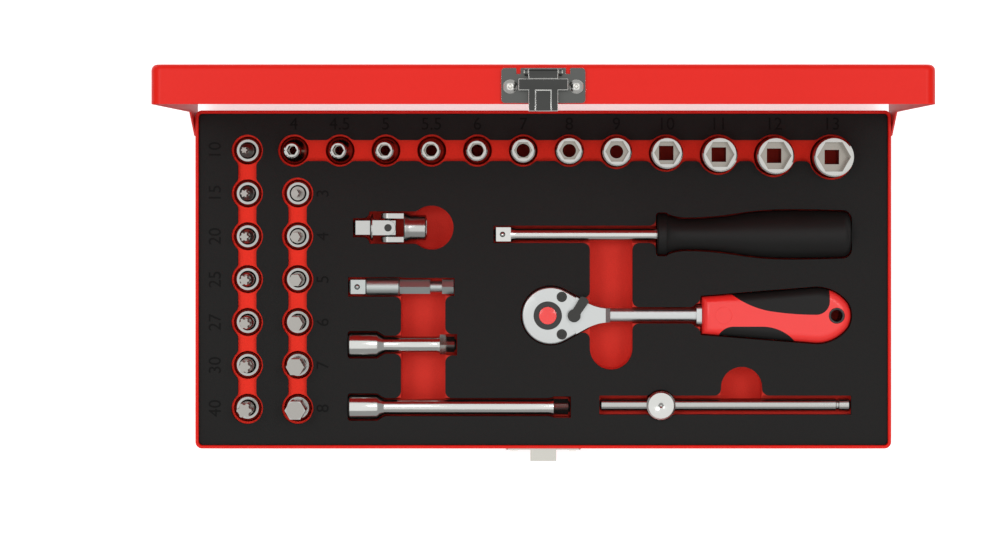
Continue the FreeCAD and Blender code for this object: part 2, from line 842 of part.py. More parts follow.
def latch_lever():
    """The lever: a barrel on the pin, a ribbed tongue with two wings, and a hook under the catch."""
    body = new_body("latch_lever")
    drum(
        body,
        "Additive",
        "latch_barrel_radius",
        "lever_width",
        "-lever_width / 2",
        PIN_Y,
        PIN_Z,
        ALONG_X,
    )
    inside = f"-({REAR} + catch_tab_reach + lever_hook_gap)"
    outside = f"{inside} - lever_sheet"
    bend = f"{LATCH_LOW} + latch_edge_gap"
    hook_top = f"{CATCH_TOP} - catch_sheet - lever_hook_gap"
    hook_low = f"{hook_top} - lever_sheet"
    hook_end = f"{inside} + lever_hook_reach"
    root = f"{PIN_Y} + latch_pin_radius / 2"
    tongue = [
        (root, f"{PIN_Z} - latch_barrel_radius * barrel_edge_share"),
        (inside, bend),
        (inside, hook_top),
        (hook_end, hook_top),
        (hook_end, hook_low),
        (outside, hook_low),
        (outside, f"{bend} + lever_sheet / 4"),
        (f"{PIN_Y} - latch_barrel_radius * barrel_edge_share", f"{PIN_Z} - latch_pin_radius / 2"),
    ]
    pad(body, outline(body, "YZ_Plane", tongue), "lever_width", both_ways=True)
    slope_top = f"{PIN_Z} - lever_wing_drop"
    run = f"(({bend}) - ({PIN_Z}))"
    lean = f"(({outside}) - ({PIN_Y} - latch_barrel_radius * barrel_edge_share)) / {run}"
    start = f"{PIN_Y} - latch_barrel_radius * barrel_edge_share - lever_sheet * barrel_bite_share"
    upper = f"{start} - lever_wing_drop * ({lean})"
    lower = f"{start} - (lever_wing_drop + lever_wing_height) * ({lean})"
    wing = [
        (f"{upper} + lever_sheet", slope_top),
        (f"{lower} + lever_sheet", f"{slope_top} - lever_wing_height"),
        (lower, f"{slope_top} - lever_wing_height"),
        (upper, slope_top),
    ]
    pad(body, outline(body, "YZ_Plane", wing), "lever_wing_span", both_ways=True)
    rib = [
        (f"{lower} + lever_sheet / 2", f"{slope_top} - lever_wing_height"),
        (f"{outside} + lever_sheet / 2", hook_low),
        (f"{outside} - lever_rib_height", hook_low),
        (f"{outside} - lever_rib_height", f"{bend} + lever_sheet"),
        (lower, f"{slope_top} - lever_wing_height"),
    ]
    for low in ("-lever_width / 2", "lever_width / 2 - lever_rib"):
        pad(body, outline(body, "YZ_Plane", rib, low), "lever_rib")
    drum(
        body,
        "Subtractive",
        "latch_pin_radius + latch_pin_fit",
        "2 * lever_width",
        "-lever_width",
        PIN_Y,
        PIN_Z,
        ALONG_X,
    )
    opened(body)


def catch_plate():
    """The base's plate, with a tab bent out at its top for the lever's hook."""
    low = f"{CATCH_TOP} - catch_sheet - catch_height"
    body = front_plate("catch_plate", "catch_width", "catch_height", "catch_sheet", low, REAR)
    block(
        body,
        "Additive",
        ("-catch_tab_width / 2", "catch_tab_width / 2"),
        (f"-({REAR}) - catch_tab_reach", f"-({REAR})"),
        (f"{CATCH_TOP} - catch_sheet", CATCH_TOP),
    )
    block(
        body,
        "Additive",
        ("-catch_tab_width / 2", "catch_tab_width / 2"),
        (f"-({REAR}) - catch_sheet", f"-({REAR})"),
        (f"{CATCH_TOP} - 2 * catch_sheet", CATCH_TOP),
    )
    rivet_holes(body, CATCH_RIVET_Z, f"{REAR} + catch_sheet")


def drive_end(body, tip, root, forward=True):
    """A square drive along Z, bevelled round its tip, with a seat for its ball."""
    half = "drive_square / 2"
    low, high = (root, tip) if forward else (tip, root)
    block(body, "Additive", (f"-{half}", half), (f"-{half}", half), (low, high))
    round_edges(body, "drive_bevel", lambda edge: level(edge, tip), "Chamfer", "Size")
    sign = "-" if forward else "+"
    drum(
        body,
        "Subtractive",
        "ball_radius + ball_fit",
        "2 * ball_radius",
        f"{half} + ball_proud - 2 * ball_radius - ball_fit",
        "0",
        f"{tip} {sign} drive_length / 2",
        ALONG_X,
    )


def drive_ball(label, tip, forward=True):
    """The ball in a square drive's side, as part of the same tool."""
    ball = doc.addObject("Part::Sphere", f"{label}_ball")
    tie(ball, "Radius", "ball_radius")
    sign = "-" if forward else "+"
    seat(
        ball,
        "drive_square / 2 + ball_proud - ball_radius",
        "0",
        f"{tip} {sign} drive_length / 2",
    )
    return ball


def drive_hole(body, end="0", upward=True):
    """A square hole for the drive, cut from one end."""
    half = f"{DRIVE_HOLE} / 2"
    low, high = (f"{end} - 1", f"{end} + drive_depth")
    if not upward:
        low, high = (f"{end} - drive_depth", f"{end} + 1")
    block(body, "Subtractive", (f"-{half}", half), (f"-{half}", half), (low, high))


def pocket_radius(diameter):
    """Radius of the foam pocket round a socket that stands up."""
    return f"{diameter} / 2 + round_pocket_gap"


def socket_places():
    """The label, widest diameter and place of each hex socket, spaced by their pockets."""
    places = []
    x = number("socket_first")
    before = None
    for size in SOCKETS:
        widest = max(number(f"socket_{size}_nose"), number("socket_drive_end"))
        radius = number(pocket_radius(widest))
        if before is not None:
            x += before + radius + number("socket_row_gap")
        places.append((size, widest, x, number("socket_row_top") - radius))
        before = radius
    return places


def hex_sockets():
    """Twelve sockets standing on their drive ends."""
    for size, widest, x, y in socket_places():
        body = new_body(f"socket_{size}")
        nose = f"socket_{size}_nose / 2"
        foot = f"{widest} / 2"
        turned(
            body,
            [
                ("0", "0"),
                (f"{foot} - socket_bevel", "0"),
                (foot, "socket_bevel"),
                (foot, "socket_drive_run"),
                (nose, "socket_drive_run + socket_taper_run"),
                (nose, "socket_length - socket_bevel"),
                (f"{nose} - socket_bevel", "socket_length"),
                ("0", "socket_length"),
            ],
        )
        flats = f"(socket_{size}_flats + socket_hex_play)"
        hexagon(
            body, "Subtractive", flats, "socket_hex_depth + 1", "socket_length - socket_hex_depth"
        )
        drive_hole(body)
        if number(flats) > number(f"{DRIVE_HOLE} * sqrt(2)"):
            # the square is narrow enough to run up to the floor of the hexagon
            half = f"{DRIVE_HOLE} / 2"
            block(body, "Subtractive", (f"-{half}", half), (f"-{half}", half), ("0", "socket_length"))
        else:
            bore = min(number(f"{flats} * socket_bore_share"), number("socket_bore"))
            drum(body, "Subtractive", f"{bore} / 2", "socket_length", z="0")
        seat(body, x, y, "socket_floor")


def star_wire(width, z):
    """A six-lobed outline of rounded points and hollows."""
    outer = width / 2
    inner = outer * number("star_hollow_share")
    rim_radius = outer * number("star_rim_share")
    lobe = math.radians(number("star_lobe_angle"))
    arcs = []
    for i in range(6):
        tip = math.radians(60 * i)
        valley = tip + math.radians(30)
        after = tip + math.radians(60)
        ends = [tip - lobe, tip + lobe, after - lobe]
        rim = [Vector(rim_radius * math.cos(a), rim_radius * math.sin(a), z) for a in ends]
        crest = Vector(outer * math.cos(tip), outer * math.sin(tip), z)
        hollow = Vector(inner * math.cos(valley), inner * math.sin(valley), z)
        arcs.append(Part.Arc(rim[0], crest, rim[1]).toShape())
        arcs.append(Part.Arc(rim[1], hollow, rim[2]).toShape())
    return Part.Wire(arcs)


def bit_holder(label, seat_radius):
    """The chromed holder of a bit: a turned body with a square hole below and a seat above."""
    body = new_body(f"{label}_holder", keep=False)
    radius = "holder_diameter / 2"
    turned(
        body,
        [
            ("0", "0"),
            (f"{radius} - socket_bevel", "0"),
            (radius, "socket_bevel"),
            (radius, "holder_length - holder_bevel"),
            (f"{radius} - holder_bevel", "holder_length"),
            (f"max({radius} - holder_bevel - holder_rim; {seat_radius} + bit_fit)", "holder_length"),
            (f"{seat_radius} + bit_fit", "holder_length - holder_mouth_depth"),
            ("0", "holder_length - holder_mouth_depth"),
        ],
    )
    drum(
        body,
        "Subtractive",
        f"{seat_radius} + bit_fit",
        "holder_seat + 1",
        z="holder_length - holder_seat",
    )
    drive_hole(body)
    return body


def star_bit(label, width):
    """A star bit: a round shank in the holder, a taper, and the six-lobed point."""
    made = doc.addObject("Part::Feature", f"{label}_bit")
    low = number("holder_length - holder_seat")
    shoulder = number("holder_length + bit_shank_run")
    neck = shoulder + number("bit_taper_run")
    top = number("holder_length + bit_length")
    shank = number("bit_shank") / 2
    wide = number(width)
    round_part = Part.makeCylinder(shank, shoulder - low, Vector(0, 0, low))
    if shank > wide / 2:
        round_part = round_part.fuse(
            Part.makeCone(shank, wide / 2, neck - shoulder, Vector(0, 0, shoulder))
        )
        start = neck
    else:
        start = shoulder
    point = Part.Face(star_wire(wide, start)).extrude(Vector(0, 0, top - start))
    made.Shape = round_part.fuse(point).removeSplitter()
    return made


def hex_bit(label, flats):
    """A hex bit: a round foot in the holder and a hexagonal blade."""
    body = new_body(f"{label}_bit", keep=False)
    foot = f"max(bit_shank; {flats}) / 2"
    drum(body, "Additive", foot, "holder_seat + 1", z="holder_length - holder_seat")
    hexagon(body, "Additive", flats, "bit_length", "holder_length")
    return body


def bit_sockets():
    """Two columns of bits that stand on their holders' square ends."""
    columns = (
        ("star", STAR_BITS, "star_{}_width", "star_column", "star_top"),
        ("hex", HEX_BITS, "hexbit_{}_flats", "hex_column", "hex_top"),
    )
    for kind, sizes, alias, column, top in columns:
        for place, size in enumerate(sizes):
            label = f"{kind}_bit_socket_{size}"
            width = alias.format(size)
            if kind == "star":
                holder = bit_holder(label, "bit_shank / 2")
                bit = star_bit(label, width)
            else:
                holder = bit_holder(label, f"max(bit_shank; {width}) / 2")
                bit = hex_bit(label, width)
            seat(group(label, [holder, bit]), column, f"{top} - {place} * bit_pitch", "bit_floor")


def joint_drive_fork():
    """The universal joint's driven fork: a square, a round root and two eyes above and below."""
    body = new_body("joint_drive_fork_steel", keep=False)
    tip = "-joint_drive_reach"
    root = "-joint_fork_root"
    turned(
        body,
        [
            ("0", f"{tip} + drive_length"),
            ("joint_drive_eye_outer - socket_bevel", f"{tip} + drive_length"),
            ("joint_drive_eye_outer", f"{tip} + drive_length + socket_bevel"),
            ("joint_drive_eye_outer", root),
            ("0", root),
        ],
    )
    drive_end(body, tip, f"{tip} + drive_length", forward=False)
    eyes(body, "XZ_Plane", "joint_drive_eye_half", "joint_drive_eye_inner", "joint_drive_eye_outer", root)
    node = group("joint_drive_fork", [body, drive_ball("joint", tip, forward=False)])
    seat(node, "joint_place", "joint_row", "tool_axis", TURN_AXES)


def eyes(body, plane, half, inner, outer, root):
    """Two rounded eyes on a fork, either side of the pin, with the pin's hole."""
    away = "-1" if root.startswith("-") else "1"
    shape = [
        (f"-{half}", root),
        (f"-{half}", "0", f"{away} * {half} * {HALF_TURN}"),
        (half, "0"),
        (half, root),
    ]
    for low in (inner, f"-{outer}"):
        pad(body, outline(body, plane, shape, low), f"{outer} - {inner}")
    hole = sketch_on(body, plane)
    hole.addGeometry(Part.Circle(Vector(), Vector(0, 0, 1), number("joint_pin_radius")))
    hole.addConstraint(Sketcher.Constraint("Coincident", 0, 3, -1, 1))
    rule = hole.addConstraint(Sketcher.Constraint("Radius", 0, number("joint_pin_radius")))
    tie(hole, f"Constraints[{rule}]", "joint_pin_radius + joint_pin_fit")
    pocket(body, hole, f"4 * {outer}", both_ways=True)


def joint_socket_fork():
    """The universal joint's other fork: two side eyes on a round end with a square hole."""
    body = new_body("joint_socket_fork")
    root = "joint_fork_root"
    turned(
        body,
        [
            ("0", root),
            ("joint_socket_eye_outer - socket_bevel", root),
            ("joint_socket_eye_outer", f"{root} + socket_bevel"),
            ("joint_socket_radius", f"{root} + socket_taper_run"),
            ("joint_socket_radius", "joint_socket_reach - socket_bevel"),
            ("joint_socket_radius - socket_bevel", "joint_socket_reach"),
            ("0", "joint_socket_reach"),
        ],
    )
    eyes(body, "YZ_Plane", "joint_socket_eye_half", "joint_socket_eye_inner", "joint_socket_eye_outer", root)
    drive_hole(body, "joint_socket_reach", upward=False)
    seat(body, "joint_place", "joint_row", "tool_axis", TURN_AXES)


def joint_cross():
    """The block between the forks, bored for a long pin and two short ones."""
    body = new_body("joint_cross")
    span = ("-joint_cross_half", "joint_cross_half")
    block(body, "Additive", span, span, span)
    bore = "joint_pin_radius + rivet_fit"
    drum(body, "Subtractive", bore, "4 * joint_cross_half", y="-2 * joint_cross_half", turn=ALONG_Y)
    drum(body, "Subtractive", bore, "4 * joint_cross_half", x="-2 * joint_cross_half", turn=ALONG_X)
    seat(body, "joint_place", "joint_row", "tool_axis", TURN_AXES)


def joint_pins():
    """One long pin through the drive fork, and a short one in each eye of the other fork."""
    long_pin = new_body("joint_long_pin", keep=False)
    reach = "joint_drive_eye_outer"
    drum(long_pin, "Additive", "joint_pin_radius", f"2 * {reach}", y=f"-{reach}", turn=ALONG_Y)
    pins = [long_pin]
    run = "joint_socket_eye_outer - joint_pin_radius - rivet_fit"
    for label, start in (
        ("joint_left_pin", "-joint_socket_eye_outer"),
        ("joint_right_pin", "joint_pin_radius + rivet_fit"),
    ):
        short_pin = new_body(label, keep=False)
        drum(short_pin, "Additive", "joint_pin_radius", run, x=start, turn=ALONG_X)
        pins.append(short_pin)
    seat(group("joint_pins", pins), "joint_place", "joint_row", "tool_axis", TURN_AXES)


def bit_adapter():
    """The adapter: a square drive, a round collar, and a grooved hex for a bit holder."""
    body = new_body("bit_adapter_steel", keep=False)
    collar_end = "drive_length + adapter_collar_run"
    tip = f"{collar_end} + adapter_hex_run + adapter_groove_run"
    turned(
        body,
        [
            ("0", "drive_length"),
            ("adapter_collar_radius - socket_bevel", "drive_length"),
            ("adapter_collar_radius", "drive_length + socket_bevel"),
            ("adapter_collar_radius", f"{collar_end} - socket_bevel"),
            ("adapter_collar_radius - socket_bevel", collar_end),
            ("adapter_groove_radius", collar_end),
            ("adapter_groove_radius", f"{tip} + adapter_tip_run / 2"),
            ("0", f"{tip} + adapter_tip_run / 2"),
        ],
    )
    drive_end(body, "0", "drive_length", forward=False)
    hexagon(body, "Additive", "adapter_hex", "adapter_hex_run", collar_end)
    hexagon(body, "Additive", "adapter_hex", "adapter_tip_run", tip)
    node = group("bit_adapter", [body, drive_ball("bit_adapter", "0", forward=False)])
    seat(node, "adapter_left", "adapter_row", "tool_axis", ROLLED)


def extension_profile(length):
    """The turned outline of an extension bar, from its socket end to the root of its drive."""
    root = f"{length} - drive_length"
    return [
        ("0", "0"),
        ("extension_head_radius - socket_bevel", "0"),
        ("extension_head_radius", "socket_bevel"),
        ("extension_head_radius", "extension_head_run"),
        ("extension_shaft_radius", "extension_head_run + extension_taper_run"),
        ("extension_shaft_radius", f"{root} - extension_neck_run"),
        ("extension_root_radius", root),
        ("0", root),
    ]


def extension(label, length, row):
    """An extension bar: a socket end, a tapered shoulder, a shaft and a square drive."""
    body = new_body(f"{label}_steel", keep=False)
    turned(body, extension_profile(length))
    drive_end(body, length, f"{length} - drive_length")
    drive_hole(body)
    node = group(label, [body, drive_ball(label, length)])
    seat(node, "extension_left", row, "tool_axis", Rotation(Vector(1, 0, 0), 45).multiply(ALONG_X))


def sweep(run, rise):
    """Radius of an arc that starts level and comes away by a rise over a run."""
    return f"((({run})^2 + ({rise})^2) / (2 * ({rise})))"


def grip_profile():
    """The turned outline of the spinner's grip: a flange, a waist, a belly and a squared end."""
    lip = "grip_flange_radius - socket_bevel"
    hollow = sweep("grip_waist_place - grip_flange_run", f"{lip} - grip_waist_radius")
    half_run = "(grip_belly_place - grip_waist_place) / 2"
    half_rise = "(grip_belly_radius - grip_waist_radius) / 2"
    swell = sweep(half_run, half_rise)
    tail = sweep("grip_length - grip_end_round - grip_belly_place", "grip_belly_radius - grip_end_radius")
    return [
        ("0", "0"),
        (lip, "0"),
        ("grip_flange_radius", "socket_bevel"),
        ("grip_flange_radius", "grip_flange_run - socket_bevel"),
        (lip, "grip_flange_run", f"-{hollow}"),
        ("grip_waist_radius", "grip_waist_place", f"-{swell}"),
        (f"grip_waist_radius + {half_rise}", f"grip_waist_place + {half_run}", swell),
        ("grip_belly_radius", "grip_belly_place", tail),
        ("grip_end_radius", "grip_length - grip_end_round", "grip_end_round"),
        ("grip_end_radius - grip_end_round", "grip_length"),
        ("0", "grip_length"),
    ]


def spinner():
    """The spinner handle: a square drive on a slim shaft, moulded into a waisted grip."""
    shaft = new_body("spinner_shaft_steel", keep=False)
    turned(
        shaft,
        [
            ("0", "drive_length"),
            ("drive_root_radius", "drive_length"),
            ("spinner_shaft_radius", "drive_length + spinner_neck_run"),
            ("spinner_shaft_radius", "spinner_shaft_length"),
            ("spinner_tang_radius", "spinner_shaft_length"),
            ("spinner_tang_radius", "spinner_shaft_length + spinner_tang"),
            ("0", "spinner_shaft_length + spinner_tang"),
        ],
    )
    drive_end(shaft, "0", "drive_length", forward=False)
    node = group("spinner_shaft", [shaft, drive_ball("spinner", "0", forward=False)])
    seat(node, "spinner_left", "spinner_row", "tool_axis", ROLLED)
    grip = new_body("spinner_grip")
    turned(grip, grip_profile())
    drum(grip, "Subtractive", "spinner_tang_radius + tang_fit", "spinner_tang + 1 + tang_fit", z="-1")
    seat(grip, "spinner_left + spinner_shaft_length", "spinner_row", "tool_axis", ALONG_X)


def flank_start(inset="0"):
    """Where the straight flank leaves the round back of the ratchet's head, drawn in by an inset."""
    radius = f"(head_radius - ({inset}))"
    return f"(head_middle + {radius} * sin(head_flank_angle))", f"({radius} * cos(head_flank_angle))"


NECK = f"({flank_start()[0]} + ({flank_start()[1]} - shank_half_width) / tan(head_flank_angle))"
NECK_RUN = "(head_neck_blend * tan(head_flank_angle / 2))"
HEAD_END = f"({NECK} + {NECK_RUN})"


def head_points():
    """The head's plan: a round back, straight flanks tangent to it, and a blend into the shank."""
    flank_x, flank_y = flank_start()
    blend_x = f"{NECK} - {NECK_RUN} * cos(head_flank_angle)"
    blend_y = f"shank_half_width + {NECK_RUN} * sin(head_flank_angle)"
    return [
        (HEAD_END, "-shank_half_width"),
        (HEAD_END, "shank_half_width", "-head_neck_blend"),
        (blend_x, blend_y),
        (flank_x, flank_y, "head_radius"),
        ("head_middle - head_radius", "0", "head_radius"),
        (flank_x, f"-{flank_y}"),
        (blend_x, f"-({blend_y})", "-head_neck_blend"),
    ]


def cover_outline(body, inset, end, rise):
    """The cover's plan: the head's, drawn in by an inset and cut off square before the neck."""
    radius = f"(head_radius - ({inset}))"
    flank_x, flank_y = flank_start(inset)
    half = f"({flank_y} - ({end} - {flank_x}) * tan(head_flank_angle))"
    points = [
        (end, f"-{half}"),
        (end, half),
        (flank_x, flank_y, radius),
        (f"head_middle - {radius}", "0", radius),
        (flank_x, f"-{flank_y}"),
    ]
    return outline(body, "XY_Plane", points, rise)


def step_outline(body, rise):
    """The plan of the lower step on the head: a rounded V about the reversing lever, open to the neck."""
    start_x = "lever_pivot_x - head_step_radius * sin(lever_rest_angle)"
    start_y = "head_step_radius * cos(lever_rest_angle)"
    far_x = f"{start_x} + 2 * head_radius * cos(lever_rest_angle)"
    far_y = f"{start_y} + 2 * head_radius * sin(lever_rest_angle)"
    points = [
        (start_x, f"-{start_y}"),
        (far_x, f"-({far_y})"),
        (f"{HEAD_END} + head_radius", f"-({far_y})"),
        (f"{HEAD_END} + head_radius", far_y),
        (far_x, far_y),
        (start_x, start_y, "head_step_radius"),
    ]
    return outline(body, "XY_Plane", points, rise)


HEAD_TOP = "head_thick / 2"
LEVER_LOW = f"{HEAD_TOP} - head_step + lever_lift"
COVER_TOP = f"-{HEAD_TOP} + cover_thick"
GEAR_LOW = f"{COVER_TOP} + gear_side_gap"
GEAR_TOP = f"{GEAR_LOW} + gear_thick"
COVER_INSET = "head_round + cover_fit + cover_lip"
COVER_END = f"({NECK} - shank_half_width)"
ROLLED = Rotation(Vector(1, 0, 0), 180).multiply(ALONG_X)


def in_ratchet(thing):
    """Seat a piece at the middle of the ratchet's head."""
    seat(thing, "ratchet_x", "ratchet_row", "ratchet_middle")


def ratchet_body():
    """The forged head, shank and tang, hollowed for the gear, the pawl and the cover."""
    body = new_body("ratchet_body")
    pad(body, outline(body, "XY_Plane", head_points()), "head_thick", True)
    for height in (HEAD_TOP, f"-{HEAD_TOP}"):
        round_edges(body, "head_end_bevel", lambda edge: across_end(edge, height), "Chamfer", "Size")
    for height in (HEAD_TOP, f"-{HEAD_TOP}"):
        round_edges(body, "head_round", lambda edge: back_arc(edge, height))
    pocket(body, step_outline(body, HEAD_TOP), "head_step")
    shank = rounded(
        body, "YZ_Plane", "shank_half_width", "shank_thick / 2", "shank_thick / 3", COVER_END
    )
    pad(body, shank, f"shank_end - {COVER_END}")
    half = ("-tang_half", "tang_half")
    block(body, "Additive", ("shank_end", "shank_end + tang_length"), half, half)
    recess = cover_outline(body, f"{COVER_INSET} - cover_fit", f"({COVER_END} + cover_fit)", f"-{HEAD_TOP}")
    pocket(body, recess, "cover_thick", forward=True)
    depth = "gear_thick + 2 * gear_side_gap + cover_relief"
    low = f"{COVER_TOP} - cover_relief"
    drum(body, "Subtractive", "gear_radius + gear_pocket_gap", depth, z=low)
    drum(body, "Subtractive", "pawl_nose_radius + gear_pocket_gap", depth, "lever_pivot_x", z=low)
    drum(body, "Subtractive", "hub_radius + hub_fit", "head_thick", z=low)
    shaft_hole = "lever_shaft_radius + lever_shaft_fit"
    drum(body, "Subtractive", shaft_hole, "head_thick", "lever_pivot_x", z=low)
    for sign in ("-", ""):
        place = ("screw_place_x", f"{sign}screw_place_y")
        drum(body, "Subtractive", "screw_radius + rivet_fit", "2 * head_thick", *place, "-head_thick")
        drum(
            body,
            "Subtractive",
            "screw_head_radius + rivet_fit",
            "head_thick",
            *place,
            f"{HEAD_TOP} - screw_head_depth",
        )
    in_ratchet(body)


def ratchet_cover():
    """The plate that closes the head from below, with room for the drive to turn."""
    body = new_body("ratchet_cover")
    low = f"-{HEAD_TOP}"
    pad(body, cover_outline(body, COVER_INSET, COVER_END, low), "cover_thick")
    drum(body, "Subtractive", "drive_boss_radius + hub_fit", "head_thick", z="-head_thick")
    for sign in ("-", ""):
        place = ("screw_place_x", f"{sign}screw_place_y")
        drum(body, "Subtractive", "screw_radius + rivet_fit", "head_thick", *place, "-head_thick")
    in_ratchet(body)


def ratchet_screws():
    """The two screws that hold the cover, with socket heads flush with the head's top."""
    pair = []
    for side, sign in (("left", "-"), ("right", "")):
        made = new_body(f"ratchet_screw_{side}", keep=False)
        seat_z = f"{HEAD_TOP} - screw_head_depth"
        drum(made, "Additive", "screw_head_radius", "screw_head_depth", z=seat_z)
        drum(made, "Additive", "screw_radius", f"{seat_z} + {HEAD_TOP}", z=f"-{HEAD_TOP}")
        socket_low = f"{HEAD_TOP} - screw_head_depth / 2"
        hexagon(made, "Subtractive", "screw_head_radius", "screw_head_depth", socket_low)
        seat(made, "screw_place_x", f"{sign}screw_place_y")
        pair.append(made)
    in_ratchet(group("ratchet_screws", pair))


def ratchet_drive():
    """The toothed gear, with its hub above, and below it a boss and the square drive."""
    body = new_body("ratchet_drive_steel", keep=False)
    boss_low = f"-{HEAD_TOP} - gear_side_gap"
    hub_top = f"{HEAD_TOP} - bezel_depth"
    root = "(gear_radius - gear_tooth)"
    turned(
        body,
        [
            ("0", boss_low),
            ("drive_boss_radius", boss_low),
            ("drive_boss_radius", GEAR_LOW),
            (root, GEAR_LOW),
            (root, GEAR_TOP),
            ("hub_radius", GEAR_TOP),
            ("hub_radius", hub_top),
            ("0", hub_top),
        ],
    )
    half = "gear_tooth * tooth_foot_share"
    tooth = [
        (f"{root} * tooth_root_share", f"-{half}"),
        ("gear_radius", "-gear_tooth * tooth_tip_share"),
        ("gear_radius", "gear_tooth * tooth_tip_share"),
        (f"{root} * tooth_root_share", half),
    ]
    first = pad(body, outline(body, "XY_Plane", tooth, GEAR_LOW), "gear_thick")
    ring = body.newObject("PartDesign::PolarPattern", "gear_teeth_ring")
    ring.Originals = [first]
    ring.Axis = (first.Profile[0], ["N_Axis"])
    ring.Angle = 360
    tie(ring, "Occurrences", "gear_teeth")
    body.Tip = ring
    tip = f"{boss_low} - drive_length"
    drive_end(body, tip, boss_low, forward=False)
    depth = "button_length - button_proud + button_travel + gear_side_gap"
    drum(body, "Subtractive", "button_radius + button_fit", "head_thick", z=f"{HEAD_TOP} - ({depth})")
    in_ratchet(group("ratchet_drive", [body, drive_ball("ratchet", tip, forward=False)]))


def ratchet_bezel():
    """The dark ring on the hub, round the button."""
    body = new_body("ratchet_bezel")
    low = f"{HEAD_TOP} - bezel_depth"
    drum(body, "Additive", "hub_radius", "bezel_depth", z=low)
    drum(body, "Subtractive", "button_radius + button_fit", "head_thick", z="0")
    in_ratchet(body)


def ratchet_button():
    """The release button in the middle of the hub, slightly domed."""
    body = new_body("ratchet_button")
    top = f"{HEAD_TOP} + button_proud"
    crown = "button_proud / 2"
    turned(
        body,
        [
            ("0", f"{top} - button_length"),
            ("button_radius", f"{top} - button_length"),
            ("button_radius", f"{top} - {crown}", f"(button_radius^2 + ({crown})^2) / (2 * {crown})"),
            ("0", top),
        ],
    )
    in_ratchet(body)


def ratchet_lever():
    """The reversing lever on top of the head, with the shaft that turns the pawl."""
    body = new_body("ratchet_lever")
    drum(body, "Additive", "lever_boss_radius", "lever_thick", z=LEVER_LOW)
    tip = "lever_arm - lever_tip_bow"
    arm = [
        ("0", "-lever_waist_half"),
        (tip, "-lever_arm_half", sweep("lever_arm_half", "lever_tip_bow")),
        (tip, "lever_arm_half"),
        ("0", "lever_waist_half"),
    ]
    pad(body, outline(body, "XY_Plane", arm, LEVER_LOW), "lever_thick")
    drum(body, "Additive", "lever_shaft_radius", f"{LEVER_LOW} - ({GEAR_LOW})", z=GEAR_LOW)
    turn = Rotation(Vector(0, 0, 1), number("lever_rest_angle"))
    seat(body, "ratchet_x + lever_pivot_x", "ratchet_row", "ratchet_middle", turn)


def ratchet_pawl():
    """The two-nosed pawl on the lever's shaft, drawn just clear of the gear's teeth."""
    body = new_body("ratchet_pawl")
    drum(body, "Additive", "pawl_radius", "gear_thick", z=GEAR_LOW)
    for sign in (-1, 1):
        nose = [
            ("0", "-pawl_nose_half"),
            ("pawl_nose_radius", "-pawl_nose_half * pawl_tip_share"),
            ("pawl_nose_radius", "pawl_nose_half * pawl_tip_share"),
            ("0", "pawl_nose_half"),
        ]
        shape = outline(body, "XY_Plane", nose, GEAR_LOW)
        angle = 180 + sign * number("pawl_nose_angle")
        shape.AttachmentOffset = Placement(shape.AttachmentOffset.Base, Rotation(Vector(0, 0, 1), angle))
        tie(shape, ".AttachmentOffset.Base.z", GEAR_LOW)
        pad(body, shape, "gear_thick")
    drum(body, "Subtractive", "lever_shaft_radius + tang_fit", "2 * head_thick", z="-head_thick")
    seat(body, "ratchet_x + lever_pivot_x", "ratchet_row", "ratchet_middle")


def ratchet_collar():
    """The dark collar between shank and handle."""
    body = new_body("ratchet_collar")
    ring = rounded(
        body, "YZ_Plane", "collar_half_width", "collar_half_thick", "collar_half_thick / 2", "shank_end"
    )
    pad(body, ring, "collar_length")
    half = "tang_half + tang_fit"
    block(
        body,
        "Subtractive",
        ("shank_end - 1", "shank_end + collar_length + 1"),
        (f"-({half})", half),
        (f"-({half})", half),
    )
    in_ratchet(body)


def pad_plan(label, points):
    """A cutter with the plan of a soft pad, from its seam out past the handle's edge."""
    body = new_body(label, keep=False)
    moved = [(f"handle_start + {point[0]}", *point[1:]) for point in points]
    pad(body, outline(body, "XY_Plane", moved), "2 * handle_thick", both_ways=True)
    return body


def upper_pad_plan():
    """The upper pad: a seam that slopes down, levels out and turns up round a corner."""
    far = "2 * handle_swell_half"
    slope = ("upper_pad_slope_end", "upper_pad_slope_line")
    flat_end = "upper_pad_end - upper_pad_corner"
    level_out = sweep(f"{flat_end} - {slope[0]}", f"{slope[1]} - upper_pad_line")
    points = [
        ("upper_pad_start", "upper_pad_edge", "upper_pad_bend"),
        (*slope, level_out),
        (flat_end, "upper_pad_line", f"upper_pad_corner * {HALF_TURN}"),
        ("upper_pad_end", "upper_pad_line + upper_pad_corner"),
        ("upper_pad_end", far),
        ("upper_pad_start", far),
    ]
    return pad_plan("upper_pad_plan", points)


def lower_pad_plan():
    """The lower pad: a seam that rises from the edge, runs level and falls back to it."""
    far = "-2 * handle_swell_half"
    fall = sweep("lower_pad_end - lower_pad_flat_end", "lower_pad_tail - lower_pad_line")
    rise = sweep("lower_pad_flat_start - lower_pad_start", "lower_pad_edge - lower_pad_line")
    points = [
        ("lower_pad_end", "-lower_pad_tail", fall),
        ("lower_pad_flat_end", "-lower_pad_line"),
        ("lower_pad_flat_start", "-lower_pad_line", rise),
        ("lower_pad_start", "-lower_pad_edge"),
        ("lower_pad_start", far),
        ("lower_pad_end", far),
    ]
    return pad_plan("lower_pad_plan", points)


def handle_points():
    """The handle's plan: flanks that widen to a swell, and a round end."""
    swell = "handle_start + handle_swell_place"
    tip = "handle_start + handle_length - handle_end_bow"
    corner = sweep(
        "handle_length - handle_end_bow - handle_swell_place", "handle_swell_half - handle_end_half"
    )
    return [
        ("handle_start", "-handle_front_half"),
        (swell, "-handle_swell_half", corner),
        (tip, "-handle_end_half", sweep("handle_end_half", "handle_end_bow")),
        (tip, "handle_end_half", corner),
        (swell, "handle_swell_half"),
        ("handle_start", "handle_front_half"),
    ]


